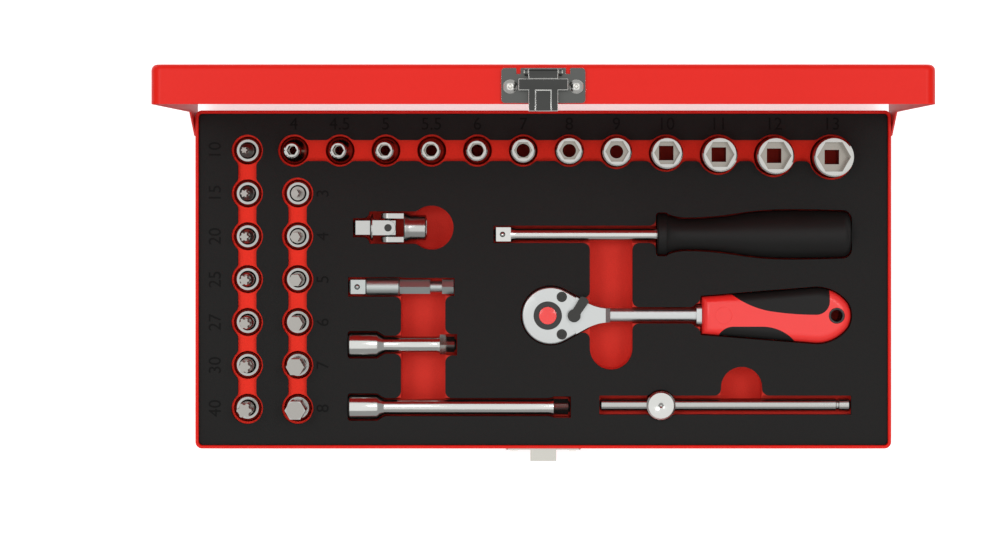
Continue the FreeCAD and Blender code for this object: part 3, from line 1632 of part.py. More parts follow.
def ratchet_handle():
    """The two-shot handle: a red core with a hanging hole, and two dark pads let into its sides."""
    core = new_body("ratchet_handle_whole", keep=False)
    pad(core, outline(core, "XY_Plane", handle_points()), "handle_thick", both_ways=True)
    flat = "handle_thick / 2"
    round_edges(core, "handle_round", lambda edge: level(edge, flat) or level(edge, f"-{flat}"))
    drum(
        core,
        "Subtractive",
        "hang_hole_radius",
        "2 * handle_thick",
        "handle_start + handle_length - hang_hole_inset",
        z="-handle_thick",
    )
    half = "tang_half + tang_fit"
    block(
        core,
        "Subtractive",
        ("handle_start - 1", "shank_end + tang_length + tang_fit"),
        (f"-({half})", half),
        (f"-({half})", half),
    )
    plans = doc.addObject("Part::Compound", "pad_plans")
    plans.Links = [upper_pad_plan(), lower_pad_plan()]
    in_ratchet(combine("Cut", "ratchet_handle", core, plans))
    in_ratchet(combine("Common", "ratchet_pads", core, plans))


def sliding_bar():
    """The T-handle's bar, bevelled at both ends, with a stop groove near one of them."""
    body = new_body("sliding_bar")
    ring = "bar_length - bar_ring_inset"
    turned(
        body,
        [
            ("0", "0"),
            ("bar_radius - bar_bevel", "0"),
            ("bar_radius", "bar_bevel"),
            ("bar_radius", ring),
            ("bar_radius - bar_ring_depth", f"{ring} + bar_ring_depth"),
            ("bar_radius - bar_ring_depth", f"{ring} + bar_ring_run - bar_ring_depth"),
            ("bar_radius", f"{ring} + bar_ring_run"),
            ("bar_radius", "bar_length - bar_bevel"),
            ("bar_radius - bar_bevel", "bar_length"),
            ("0", "bar_length"),
        ],
    )
    seat(body, "bar_left", "bar_row", "tool_axis", ALONG_X)


def sliding_head():
    """The T-handle's head: bored for the bar, dimpled above, with a square drive below."""
    body = new_body("sliding_head_steel", keep=False)
    top = "bar_head_length / 2"
    turned(
        body,
        [
            ("0", f"-{top}"),
            ("bar_head_radius - bar_head_bevel", f"-{top}"),
            ("bar_head_radius", f"-{top} + bar_head_bevel"),
            ("bar_head_radius", f"{top} - bar_head_bevel"),
            ("bar_head_radius - bar_head_bevel", top),
            ("bar_dimple_radius", top),
            ("0", f"{top} - bar_dimple_radius / 2"),
        ],
    )
    tip = f"-{top} - drive_length"
    drive_end(body, tip, f"-{top}", forward=False)
    drum(
        body,
        "Subtractive",
        "bar_radius + bar_fit",
        "4 * bar_head_radius",
        "-2 * bar_head_radius",
        turn=ALONG_X,
    )
    node = group("sliding_head", [body, drive_ball("sliding_head", tip, forward=False)])
    seat(node, "bar_head_place", "bar_row", "tool_axis")


def disc(x, y, radius):
    """A round patch of the foam's plan."""
    return Part.Face(Part.Wire(Part.makeCircle(number(radius), Vector(number(x), number(y), 0))))


def plan(points, x="0", y="0"):
    """A patch of the foam's plan through points as an outline takes them, moved by x and y."""
    places = [Vector(number(p[0]), number(p[1]), 0) for p in points]
    edges = []
    for i, point in enumerate(points):
        start, end = places[i], places[(i + 1) % len(points)]
        curve = Part.LineSegment(start, end) if len(point) == 2 else arc_between(start, end, number(point[2]))
        edges.append(curve.toShape())
    made = Part.Face(Part.Wire(Part.__sortEdges__(edges)))
    made.translate(Vector(number(x), number(y), 0))
    return made


def lying(profile, start, row):
    """The plan of a turned piece that lies along X, from its own profile."""
    edges = []
    for first, last in zip(profile, profile[1:]):
        for side in (1, -1):
            ends = []
            for point in (first, last):
                ends.append(Vector(number(f"{start} + {point[1]}"), number(row) + side * number(point[0]), 0))
            if len(first) == 2:
                curve = Part.LineSegment(*ends)
            else:
                curve = arc_between(*ends, -side * number(first[2]))
            edges.append(curve.toShape())
    return Part.Face(Part.Wire(Part.__sortEdges__(edges)))


def widened(face, gap):
    """A patch with room all round."""
    return face.makeOffset2D(number(gap))


def strip(start, end, row, half):
    """A straight slot of the foam's plan, along X."""
    low, high = f"{row} - ({half})", f"{row} + ({half})"
    return plan([(start, low), (end, low), (end, high), (start, high)])


def column(x, low, high, half):
    """A straight slot of the foam's plan, along Y."""
    left, right = f"{x} - ({half})", f"{x} + ({half})"
    return plan([(left, low), (right, low), (right, high), (left, high)])


def merged(faces):
    """Overlapping patches as one, through solids, which merge where bare faces don't."""
    prisms = [face.extrude(Vector(0, 0, 1)) for face in faces]
    whole = prisms[0].multiFuse(prisms[1:]).removeSplitter() if len(prisms) > 1 else prisms[0]
    return [face for face in whole.Faces if level(face, "0")]


def blended(faces):
    """Patches merged, with every corner that points into the pocket rounded."""
    radius = number("foam_blend")
    made = []
    for face in merged(faces):
        has_corners = len(face.Edges) > 1
        made.append(face.makeOffset2D(radius).makeOffset2D(-radius) if has_corners else face)
    return made


def foam_pockets():
    """Each group of pockets: its patches and the height of its floor."""
    pockets = []
    row = []
    ends = socket_places()
    for _, widest, x, y in ends:
        row.append(disc(x, y, pocket_radius(widest)))
    middle = f"socket_row_top - ({pocket_radius('socket_drive_end')})"
    row.append(strip(ends[0][2], ends[-1][2], middle, "socket_channel / 2"))
    pockets.append((row, "socket_floor"))
    for sizes, x, top in ((STAR_BITS, "star_column", "star_top"), (HEX_BITS, "hex_column", "hex_top")):
        places = [f"{top} - {i} * bit_pitch" for i in range(len(sizes))]
        bits = [disc(x, y, pocket_radius("holder_diameter")) for y in places]
        bits.append(column(x, places[-1], places[0], "bit_channel / 2"))
        pockets.append((bits, "bit_floor"))
    joint_left = "joint_place - joint_drive_reach - pocket_gap"
    joint_root = "joint_place - joint_drive_reach + drive_length - pocket_gap"
    joint_right = "joint_place + joint_socket_reach + pocket_gap"
    joint = [
        strip(joint_left, joint_right, "joint_row", "bar_slot_half"),
        strip(joint_root, joint_right, "joint_row", "joint_pocket_half"),
    ]
    pockets.append((joint, "tool_axis - joint_socket_eye_outer"))
    pockets.append(([disc("joint_recess_place", "joint_row", "joint_recess_radius")], "recess_floor"))
    collar_end = "adapter_left + drive_length + adapter_collar_run + pocket_gap"
    adapter_end = (
        "adapter_left + drive_length + adapter_collar_run + adapter_hex_run"
        " + adapter_groove_run + adapter_tip_run + pocket_gap"
    )
    thick_half = "adapter_collar_radius + pocket_gap"
    thick = strip("adapter_left - pocket_gap", collar_end, "adapter_row", thick_half)
    pockets.append(([thick], "tool_axis - adapter_collar_radius"))
    slim = f"adapter_hex / 2 * {FLATS_TO_CORNERS}"
    thin = strip(collar_end, adapter_end, "adapter_row", f"{slim} + pocket_gap")
    pockets.append(([thin], f"tool_axis - {slim}"))
    for length, place in (
        ("short_extension_length", "short_extension_row"),
        ("long_extension_length", "long_extension_row"),
    ):
        bar = widened(lying(extension_profile(length), "extension_left", place), "pocket_gap")
        tip = f"extension_left + {length}"
        drive_half = "drive_diagonal / 2 + pocket_gap"
        drive = strip(f"{tip} - drive_length", f"{tip} + pocket_gap", place, drive_half)
        pockets.append(([bar, drive], "tool_axis - extension_head_radius"))
    left_recess = plan(
        [
            ("left_recess_start", "long_extension_row"),
            ("left_recess_end", "long_extension_row"),
            ("left_recess_end", "adapter_row"),
            ("left_recess_start", "adapter_row"),
        ]
    )
    pockets.append(([left_recess], "recess_floor"))
    pockets += spinner_pockets() + ratchet_pockets() + bar_pockets()
    return pockets


def spinner_pockets():
    """The slot of the spinner's shaft and the bed of its grip."""
    grip_start = "spinner_left + spinner_shaft_length"
    shaft = strip("spinner_left - pocket_gap", grip_start, "spinner_row", "drive_root_radius + pocket_gap")
    grip = widened(lying(grip_profile(), grip_start, "spinner_row"), "grip_gap")
    return [
        ([shaft], "tool_axis - drive_root_radius"),
        ([grip], "tool_axis - grip_belly_radius"),
    ]


def ratchet_pockets():
    """The bed of the ratchet, with a well for its drive, and the finger recess across it."""
    head = widened(plan(head_points(), "ratchet_x", "ratchet_row"), "grip_gap")
    handle = widened(plan(handle_points(), "ratchet_x", "ratchet_row"), "grip_gap")
    collar_start = "ratchet_x + shank_end"
    shank = strip(f"ratchet_x + {HEAD_END}", collar_start, "ratchet_row", "shank_half_width + grip_gap")
    collar_half = "collar_half_width + grip_gap"
    collar = strip(f"{collar_start} - grip_gap", "ratchet_x + handle_start", "ratchet_row", collar_half)
    well = f"ratchet_middle - {HEAD_TOP} - gear_side_gap - drive_length"
    middle = "(middle_recess_start + middle_recess_end) / 2"
    half = "(middle_recess_end - middle_recess_start) / 2"
    recess = [
        column(middle, "middle_recess_bottom", "spinner_row", half),
        disc(middle, "middle_recess_bottom", half),
    ]
    return [
        ([head], f"ratchet_middle - {HEAD_TOP}"),
        ([shank, collar], "ratchet_middle - collar_half_thick"),
        ([handle], "ratchet_middle - handle_thick / 2"),
        ([disc("ratchet_x", "ratchet_row", "drive_boss_radius + pocket_gap")], well),
        (recess, "recess_floor"),
    ]


def bar_pockets():
    """The slot of the T-handle's bar, the well of its head and the finger recess beside it."""
    end = "bar_left + bar_length + pocket_gap"
    middle = "(bar_recess_start + bar_recess_end) / 2"
    half = "(bar_recess_end - bar_recess_start) / 2"
    recess = [column(middle, "bar_row", "bar_recess_top", half), disc(middle, "bar_recess_top", half)]
    return [
        ([strip("bar_left - pocket_gap", end, "bar_row", "bar_slot_half")], "tool_axis - bar_radius"),
        (
            [disc("bar_head_place", "bar_row", "bar_head_radius + pocket_gap")],
            "tool_axis - bar_head_length / 2 - drive_length",
        ),
        (recess, "recess_floor"),
    ]


def foam_blocks(layer):
    """The layer as the abutting blocks that fill the base: three behind, four in front."""
    box = layer.BoundBox
    rear = number("foam_seam_rear")
    seams = [(name, rear, box.YMax) for name in ("foam_seam_small_sockets", "foam_seam_large_sockets")]
    seams += [(name, box.YMin, rear) for name in ("foam_seam_bits", "foam_seam_bars", "foam_seam_grips")]
    blocks = []
    for front, back in ((box.YMin, rear), (rear, box.YMax)):
        cuts = [box.XMin] + [number(name) for name, low, high in seams if low == front] + [box.XMax]
        for left, right in zip(cuts, cuts[1:]):
            corner = Vector(left, front, box.ZMin)
            blocks.append(layer.common(Part.makeBox(right - left, back - front, box.ZLength, corner)))
    return Part.makeCompound([solid for block in blocks for solid in block.Solids])


def foam_layer(label, low, high, pockets, bend=None):
    """A layer of foam that fills the base, with its share of the pockets cut out."""
    made = doc.addObject("Part::Feature", label)
    made.Label = label
    half_x = number("case_width / 2 - sheet_steel - foam_gap")
    half_y = number(f"{REAR} - sheet_steel - foam_gap")
    bottom, top = number(low), number(high)
    layer = Part.makeBox(2 * half_x, 2 * half_y, top - bottom, Vector(-half_x, -half_y, bottom))
    upright = [edge for edge in layer.Edges if edge.BoundBox.ZLength > (top - bottom) / 2]
    layer = layer.makeFillet(number("case_corner"), upright)
    if bend is not None:
        layer = layer.makeFillet(number(bend), [edge for edge in layer.Edges if level(edge, low)])
    cutters = []
    for faces, floor in pockets:
        start = max(number(floor) - number("seat_gap"), bottom - 1)
        for face in faces:
            face = face.copy()
            face.translate(Vector(0, 0, start))
            cutters.append(face.extrude(Vector(0, 0, top + 1 - start)))
    pivot_reach = number("pivot_tail_height")
    pivot_radius = number("pivot_head_radius")
    rivet_reach = number("rivet_tail_height")
    rivet_radius = number("rivet_head_radius")
    for side in (-1, 1):
        pivot = Vector(side * half_x - pivot_reach, number(PIVOT_Y), number(PIVOT_Z))
        cutters.append(Part.makeCylinder(pivot_radius, 2 * pivot_reach, pivot, Vector(1, 0, 0)))
        rivet_end = Vector(side * number("rivet_spacing / 2"), -half_y - rivet_reach, number(CATCH_RIVET_Z))
        cutters.append(Part.makeCylinder(rivet_radius, 2 * rivet_reach, rivet_end, Vector(0, 1, 0)))
    made.Shape = foam_blocks(layer.cut(cutters).removeSplitter())
    subparts.append(made)


def foam():
    """The red lower layer with its stepped pockets, and the black top layer with their mouths."""
    pockets = foam_pockets()
    mouths = blended([face for faces, floor in pockets for face in faces])
    stepped = [(blended(faces), floor) for faces, floor in pockets]
    foam_layer("foam_red", "sheet_steel + seat_gap", FOAM_SPLIT, stepped, "case_bend")
    foam_layer("foam_black", FOAM_SPLIT, FOAM_TOP, [(mouths, FOAM_SPLIT)])


case_base()
case_lid()
lid_pivot_rivets()
latch_plate()
latch_rivets = plate_rivets(
    "latch_rivets", "sheet_steel + latch_sheet", f"{LID_HALF_Y} - sheet_steel", LATCH_RIVET_Z
)
opened(latch_rivets)
latch_pin()
latch_lever()
catch_plate()
plate_rivets("catch_rivets", "sheet_steel + catch_sheet", f"{REAR} - sheet_steel", CATCH_RIVET_Z)
hex_sockets()
bit_sockets()
joint_drive_fork()
joint_socket_fork()
joint_cross()
joint_pins()
bit_adapter()
extension("short_extension", "short_extension_length", "short_extension_row")
extension("long_extension", "long_extension_length", "long_extension_row")
spinner()
ratchet_body()
ratchet_cover()
ratchet_screws()
ratchet_drive()
ratchet_bezel()
ratchet_button()
ratchet_lever()
ratchet_pawl()
ratchet_collar()
ratchet_handle()
sliding_bar()
sliding_head()
foam()
doc.recompute()

faults = [f"{thing.Name}: {thing.State}" for thing in doc.Objects if {"Invalid", "Error"} & set(thing.State)]
for thing in subparts:
    if thing.Shape.isNull() or not thing.Shape.isValid():
        faults.append(f"{thing.Label}: no valid shape")
if faults:
    raise RuntimeError("\n".join(faults))

os.makedirs("parts", exist_ok=True)
for thing in subparts:
    thing.Shape.exportStep(f"parts/{thing.Label}.step")
print(f"{len(subparts)} sub-parts")
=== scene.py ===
import json
import math

import bmesh
import bpy
from mathutils import Matrix, Vector
from mathutils.bvhtree import BVHTree


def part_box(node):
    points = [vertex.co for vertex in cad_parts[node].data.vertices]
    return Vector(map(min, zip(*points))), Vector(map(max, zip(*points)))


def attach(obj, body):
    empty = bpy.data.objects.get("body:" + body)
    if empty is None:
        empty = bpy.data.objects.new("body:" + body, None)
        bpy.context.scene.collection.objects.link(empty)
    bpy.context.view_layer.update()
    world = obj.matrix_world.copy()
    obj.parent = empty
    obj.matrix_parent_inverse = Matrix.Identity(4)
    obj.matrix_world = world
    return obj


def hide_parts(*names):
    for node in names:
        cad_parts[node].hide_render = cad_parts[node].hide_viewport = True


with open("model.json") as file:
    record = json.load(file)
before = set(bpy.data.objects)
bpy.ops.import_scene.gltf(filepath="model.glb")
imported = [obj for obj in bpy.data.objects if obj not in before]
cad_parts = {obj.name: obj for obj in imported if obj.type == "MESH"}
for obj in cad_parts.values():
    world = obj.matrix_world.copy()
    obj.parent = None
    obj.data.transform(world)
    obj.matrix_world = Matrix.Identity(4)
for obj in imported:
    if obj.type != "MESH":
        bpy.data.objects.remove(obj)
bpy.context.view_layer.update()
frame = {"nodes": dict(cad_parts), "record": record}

bl_info = {
    "name": "Socket wrench set in case",
    "version": (1, 0, 0),
    "blender": (4, 5, 0),
    "location": "3D View > Sidebar > Tool set",
    "description": "Finishes, marks and trim of a socket wrench set in a steel case",
    "category": "Object",
}

MM = 0.001
# finest lengths: what counts as one point, and as lying on a plane
MERGE_DISTANCE = 0.002 * MM
PLANE_SLACK = 0.01 * MM
NODES = frame["nodes"]
RECORD = frame["record"]
# where the abutting blocks of each foam layer meet
FOAM_SEAM_REAR = 48.2 * MM
FOAM_SEAMS_TOOLS = (-97.0 * MM, -28.0 * MM, 48.0 * MM)
FOAM_SEAMS_SOCKETS = (-40.4 * MM, 43.4 * MM)
# a face whose normal is this upright is level, and is shaded flat
LEVEL = 0.999
# a wall of a foam block faces along an axis by at least this much
UPRIGHT = 0.99
# an edge is rounded where a top, whose normal rises above the first, meets a wall, whose normal is below the
# second
TOP_FACES = 0.9
WALL_FACES = 0.3
# a face belongs to the block that holds the point this far under it
FACE_INSIDE = 0.05 * MM
SEAT_STEPS = 72
TINY = 1e-6
SEAT_EDGE_TURNS = (0.0, math.pi / 6, math.pi / 3, math.pi / 2)
# the rows of tools that stand, with the axis that each runs along
STANDING_ROWS = (("socket_", 0), ("star_bit_socket_", 1), ("hex_bit_socket_", 1))
# each metal finish: colour, roughness and how much handling marks change it
METALS = {
    # the latch plate's steel is darkened as a painted dark reflection of what lies above it
    "latch_plated_steel": ((0.085, 0.087, 0.083), 0.30, 0.12),
    "latch_dark_steel": ((0.05, 0.051, 0.049), 0.30, 0.12),
    # a light copy of the latch steel that the rounded edges take as painted highlight
    "bright_edge_steel": ((0.78, 0.78, 0.75), 0.20, 0.08),
    "catch_nickel": ((0.48, 0.47, 0.43), 0.26, 0.10),
    "rivet_nickel": ((0.66, 0.65, 0.62), 0.22, 0.10),
    "black_steel": ((0.045, 0.045, 0.043), 0.40, 0.10),
    "joint_chrome": ((0.42, 0.423, 0.41), 0.22, 0.08),
    "bar_chrome": ((0.40, 0.402, 0.388), 0.20, 0.08),
    "adapter_steel": ((0.40, 0.43, 0.42), 0.42, 0.12),
}
SATIN_CHROME = (0.46, 0.475, 0.47)
SOCKET_CHROME = (0.44, 0.44, 0.42)
SOCKET_HOLLOW_SHADE = (0.28, 0.26, 0.23)
HOLDER_CHROME = (0.36, 0.362, 0.348)
MARK_INK = (0.0025, 0.0024, 0.0022)
STREAK_SCALE = 900.0
SATIN_SCALE = 1400.0
STREAK_DEPTH = 0.002 * MM
CHROME_ROUGHNESS = 0.16
CHROME_WEAR = 0.08
HOLDER_ROUGHNESS = 0.2
BIT_ADDED_ROUGHNESS = 0.16
# the radius inside which a bit socket is bare steel
BIT_RADIUS = 3.86 * MM
# whole pitches, and a half, that keep the place along a column of bits above nought
PITCHES_BACK = 20.5
# below the rim, where painted shade starts to darken a socket's chrome and where it is darkest
SOCKET_SHADE_FROM = 0.8 * MM
SOCKET_SHADE_AT = 6.0 * MM
# widths of the rounded edges
PLATE_EDGE = 0.22 * MM
LEVER_EDGE = 0.4 * MM
ADAPTER_EDGE = 0.1 * MM
JOINT_EDGE = 0.25 * MM
SCREW_EDGE = 0.12 * MM
# where the size numbers stand: the line above the row, and beside the columns
MARK_LINE = 69.6 * MM
STAR_MARK_OFFSET = 14.2 * MM
HEX_MARK_OFFSET = 11.6 * MM
# a letter's size for each unit of its height
LETTER_SCALE = 1.4
HEM_INSET = 0.05 * MM
HEM_CORNER = 2.4 * MM
# the hanging hole and the bare round place, from the ends of the ratchet's handle
HANG_HOLE_FROM_END = 6.6 * MM
HANDLE_RING_FROM_END = 9.6 * MM
LINER_STEPS = 48
# the liner's section: radius, and height above the handle's underside or its top
LINER_FOOT = ((2.5 * MM, 0.02 * MM), (2.96 * MM, 0.02 * MM))
LINER_LIP = (
    (2.96 * MM, -0.2 * MM),
    (3.6 * MM, -0.02 * MM),
    (3.3 * MM, 0.16 * MM),
    (2.7 * MM, 0.1 * MM),
    (2.5 * MM, -0.2 * MM),
)
RING_STEPS = 64
# the ring's section: radius, and height on the handle
RING_SECTION = (
    (3.55 * MM, -0.05 * MM),
    (3.65 * MM, 0.05 * MM),
    (3.80 * MM, 0.05 * MM),
    (3.90 * MM, -0.05 * MM),
)
RAY_START = 10 * MM
FLOOR_COLOUR = (0.92, 0.92, 0.92, 1)
FLOOR_GLOW = 0.55
FLOOR_HALF = 6.0
FLOOR_HEIGHT = -0.2 * MM
WORLD_LIGHT = 0.5
WORLD_SEEN = 1.0
OVERHEAD_PLACE = (0.0, 0.1, 2.0)
OVERHEAD_TARGET = (0.0, 0.1, 0.0)
OVERHEAD_SIZE = (3.0, 3.0)
OVERHEAD_POWER = 24.0
KEY_PLACE = (0.7, 0.3, 1.7)
KEY_SIZE = (0.35, 0.35)
KEY_POWER = 2.6
CAMERA_PLACE = (0.0, 0.043, 1.310)
CAMERA_SENSOR = 36.0
CAMERA_LENS = 103.0
CAMERA_SHIFT = (-0.0433, -0.0934)
BODY_OF = {node: body for body, nodes in RECORD["behaviour"]["bodies"].items() for node in nodes}


class FinishSettings(bpy.types.PropertyGroup):
    """Colours and roughness of the set's finishes."""

    case_red: bpy.props.FloatVectorProperty(
        name="Case red",
        description="Paint of the case",
        subtype="COLOR",
        size=3,
        default=(0.76, 0.010, 0.003),
    )
    foam_red: bpy.props.FloatVectorProperty(
        name="Red foam",
        description="Lower foam layer",
        subtype="COLOR",
        size=3,
        default=(0.76, 0.040, 0.024),
    )
    # painted light: the seats' floor is a lighter copy of the red foam, making up for the shade that the
    # open lid casts on the rows
    foam_floor_painted_light: bpy.props.FloatVectorProperty(
        name="Red foam floor",
        description="Cut floor of the red layer round the tools that stand",
        subtype="COLOR",
        size=3,
        default=(0.98, 0.040, 0.022),
    )
    foam_black: bpy.props.FloatVectorProperty(
        name="Black foam",
        description="Upper foam layer",
        subtype="COLOR",
        size=3,
        default=(0.0078, 0.0076, 0.0071),
    )
    grip_red: bpy.props.FloatVectorProperty(
        name="Handle red",
        description="Hard plastic of the ratchet's handle",
        subtype="COLOR",
        size=3,
        default=(0.94, 0.028, 0.024),
    )
    grip_black: bpy.props.FloatVectorProperty(
        name="Grip black",
        description="Soft plastic of the grips",
        subtype="COLOR",
        size=3,
        default=(0.009, 0.009, 0.0086),
    )
    chrome: bpy.props.FloatVectorProperty(
        name="Chrome",
        description="Plating of the tools",
        subtype="COLOR",
        size=3,
        default=(0.52, 0.523, 0.503),
    )
    dark_steel: bpy.props.FloatVectorProperty(
        name="Dark steel",
        description="Bare steel of the bits and the adapter",
        subtype="COLOR",
        size=3,
        default=(0.30, 0.290, 0.270),
    )
    paint_roughness: bpy.props.FloatProperty(
        name="Paint roughness",
        description="Gloss of the case's paint",
        subtype="FACTOR",
        default=0.36,
        min=0,
        max=1,
    )
    foam_cell: bpy.props.FloatProperty(
        name="Foam cell",
        description="Size of the foam's cells",
        unit="LENGTH",
        default=0.0006,
    )


class TrimSettings(bpy.types.PropertyGroup):
    """Sizes of the marks and trim that the finishes add."""

    mark_height: bpy.props.FloatProperty(
        name="Mark height",
        description="Height of the size numbers",
        unit="LENGTH",
        default=0.0056,
    )
    mark_depth: bpy.props.FloatProperty(
        name="Mark depth",
        description="How far the numbers stand on the foam",
        unit="LENGTH",
        default=0.00008,
    )
    sharp_angle: bpy.props.FloatProperty(
        name="Sharp angle",
        description="Edges that turn more than this stay sharp or are rounded",
        subtype="ANGLE",
        default=math.radians(32),
    )
    foam_edge: bpy.props.FloatProperty(
        name="Foam edge",
        description="Rounding of the foam's cut edges",
        unit="LENGTH",
        default=0.00035,
    )
    seat_gap: bpy.props.FloatProperty(
        name="Seat gap",
        description="Room round each tool that stands",
        unit="LENGTH",
        default=0.00045,
    )
    seat_reach: bpy.props.FloatProperty(
        name="Seat reach",
        description="How far a seat goes beyond its tool, into the foam",
        unit="LENGTH",
        default=0.0022,
    )
    seat_drop: bpy.props.FloatProperty(
        name="Seat drop",
        description="How far a seat's top lies below the red layer's",
        unit="LENGTH",
        default=0.0001,
    )
    seat_sink: bpy.props.FloatProperty(
        name="Seat sink",
        description="How far a seat goes into the floor of its pocket",
        unit="LENGTH",
        default=0.0003,
    )
    hem_radius: bpy.props.FloatProperty(
        name="Hem radius",
        description="Radius of the folded rim",
        unit="LENGTH",
        default=0.0007,
    )


def settings():
    """The finishes that this scene holds."""
    return bpy.context.scene.tool_set_finish


def trim():
    """The trim sizes that this scene holds."""
    return bpy.context.scene.tool_set_trim


def add_node(tree, kind, **values):
    """A node whose sockets and settings are given by name."""
    made = tree.nodes.new(kind)
    for name, value in values.items():
        socket = made.inputs.get(name.replace("_", " "))
        if socket is None:
            setattr(made, name, value)
        elif isinstance(value, bpy.types.NodeSocket):
            tree.links.new(value, socket)
        else:
            socket.default_value = value
    return made


def maths(tree, operation, *values):
    """A maths node's result, from sockets and numbers in order."""
    made = tree.nodes.new("ShaderNodeMath")
    made.operation = operation
    for socket, value in zip(made.inputs, values):
        if isinstance(value, bpy.types.NodeSocket):
            tree.links.new(value, socket)
        else:
            socket.default_value = value
    return made.outputs[0]


def mix_colour(tree, factor, first, second):
    """A blend of two colours by a factor."""
    made = tree.nodes.new("ShaderNodeMix")
    made.data_type = "RGBA"
    for name, value in (("Factor", factor), ("A", first), ("B", second)):
        socket = next(s for s in made.inputs if s.name == name and s.enabled)
        if isinstance(value, bpy.types.NodeSocket):
            tree.links.new(value, socket)
        else:
            socket.default_value = value
    return next(s for s in made.outputs if s.enabled)


def effect_group(name, inputs, outputs, fill):
    """A shader node group, built once, that puts out colours, masks and heights."""
    if name in bpy.data.node_groups:
        return bpy.data.node_groups[name]
    tree = bpy.data.node_groups.new(name, "ShaderNodeTree")
    for label, kind, value in inputs:
        socket = tree.interface.new_socket(label, in_out="INPUT", socket_type=kind)
        socket.default_value = value
    for label, kind in outputs:
        tree.interface.new_socket(label, in_out="OUTPUT", socket_type=kind)
    start = tree.nodes.new("NodeGroupInput")
    end = tree.nodes.new("NodeGroupOutput")
    for label, socket in fill(tree, start.outputs).items():
        tree.links.new(socket, end.inputs[label])
    return tree


FLOAT = "NodeSocketFloat"
COLOUR = "NodeSocketColor"


def speckle_group():
    """Fine speckle: a height and a colour that wanders by a given amount."""

    def fill(tree, given):
        place = tree.nodes.new("ShaderNodeTexCoord").outputs["Object"]
        cells = add_node(tree, "ShaderNodeTexVoronoi", Vector=place, Scale=given["Scale"])
        cloud = add_node(tree, "ShaderNodeTexNoise", Vector=place, Scale=given["Cloud scale"], Detail=3.0)
        height = maths(tree, "SUBTRACT", 1.0, cells.outputs["Distance"])
        wander = maths(tree, "MULTIPLY", maths(tree, "SUBTRACT", cloud.outputs["Fac"], 0.5), given["Amount"])
        grain = maths(tree, "MULTIPLY", maths(tree, "SUBTRACT", height, 0.6), given["Grain"])
        bright = maths(tree, "ADD", 1.0, maths(tree, "ADD", wander, grain))
        shade = tree.nodes.new("ShaderNodeVectorMath")
        shade.operation = "SCALE"
        tree.links.new(given["Colour"], shade.inputs[0])
        tree.links.new(bright, shade.inputs["Scale"])
        return {"Height": height, "Colour": shade.outputs[0]}

    inputs = (
        ("Colour", COLOUR, (0.5, 0.5, 0.5, 1.0)),
        ("Scale", FLOAT, 1500.0),
        ("Cloud scale", FLOAT, 30.0),
        ("Amount", FLOAT, 0.2),
        ("Grain", FLOAT, 0.2),
    )
    return effect_group("Speckle", inputs, (("Height", FLOAT), ("Colour", COLOUR)), fill)


def wear_group():
    """Handling marks: fine streaks, and soft patches where fingers dulled the surface."""

    def fill(tree, given):
        place = tree.nodes.new("ShaderNodeTexCoord").outputs["Object"]
        stretch = add_node(tree, "ShaderNodeMapping", Vector=place)
        stretch.inputs["Scale"].default_value = (0.06, 1.0, 1.0)
        drawn = stretch.outputs[0]
        streaks = add_node(tree, "ShaderNodeTexNoise", Vector=drawn, Scale=given["Scale"], Detail=2.0)
        patches = add_node(tree, "ShaderNodeTexNoise", Vector=place, Scale=given["Patch scale"], Detail=2.0)
        streak = maths(tree, "SUBTRACT", streaks.outputs["Fac"], 0.5)
        patch = maths(tree, "SUBTRACT", patches.outputs["Fac"], 0.5)
        both = maths(tree, "ADD", maths(tree, "MULTIPLY", streak, 0.5), patch)
        rough = maths(tree, "ADD", given["Roughness"], maths(tree, "MULTIPLY", both, given["Amount"]))
        return {"Roughness": rough, "Height": streaks.outputs["Fac"]}

    inputs = (
        ("Roughness", FLOAT, 0.2),
        ("Scale", FLOAT, 900.0),
        ("Patch scale", FLOAT, 60.0),
        ("Amount", FLOAT, 0.1),
    )
    return effect_group("Handling wear", inputs, (("Roughness", FLOAT), ("Height", FLOAT)), fill)


def place_group(tree, group, **values):
    """A shader node group placed in a material with its own values."""
    made = tree.nodes.new("ShaderNodeGroup")
    made.node_tree = group
    for name, value in values.items():
        socket = made.inputs[name.replace("_", " ")]
        if isinstance(value, bpy.types.NodeSocket):
            tree.links.new(value, socket)
        else:
            socket.default_value = value
    return made.outputs


def new_material(name, **values):
    """A material with a Principled shader whose sockets are set by name."""
    made = bpy.data.materials.new(name)
    made.use_nodes = True
    shader = made.node_tree.nodes["Principled BSDF"]
    for label, value in values.items():
        shader.inputs[label.replace("_", " ")].default_value = value
    return made, made.node_tree, shader


def bump(tree, shader, height, distance, strength=1.0):
    """Drive the shader's normal from a height in metres."""
    made = add_node(tree, "ShaderNodeBump", Height=height, Distance=distance, Strength=strength)
    tree.links.new(made.outputs[0], shader.inputs["Normal"])


def solid(colour):
    """A colour with full opacity."""
    return (*colour, 1.0)


def speckled(name, colour, scale, cloud, amount, grain, depth, **values):
    """A plastic, paint or foam with a fine grain and soft variation."""
    made, tree, shader = new_material(name, **values)
    out = place_group(
        tree, speckle_group(),
        Colour=solid(colour), Scale=scale, Cloud_scale=cloud, Amount=amount, Grain=grain,
    )
    tree.links.new(out["Colour"], shader.inputs["Base Color"])
    bump(tree, shader, out["Height"], depth)
    return made


def metal(name, colour, roughness, amount=CHROME_WEAR, scale=STREAK_SCALE):
    """Plated or bare steel with fine handling marks."""
    made, tree, shader = new_material(name, Base_Color=solid(colour), Metallic=1.0)
    out = place_group(tree, wear_group(), Roughness=roughness, Scale=scale, Amount=amount)
    tree.links.new(out["Roughness"], shader.inputs["Roughness"])
    bump(tree, shader, out["Height"], STREAK_DEPTH)
    return made


def stock_metal(name):
    """One of the listed metal finishes."""
    return metal(name, *METALS[name])


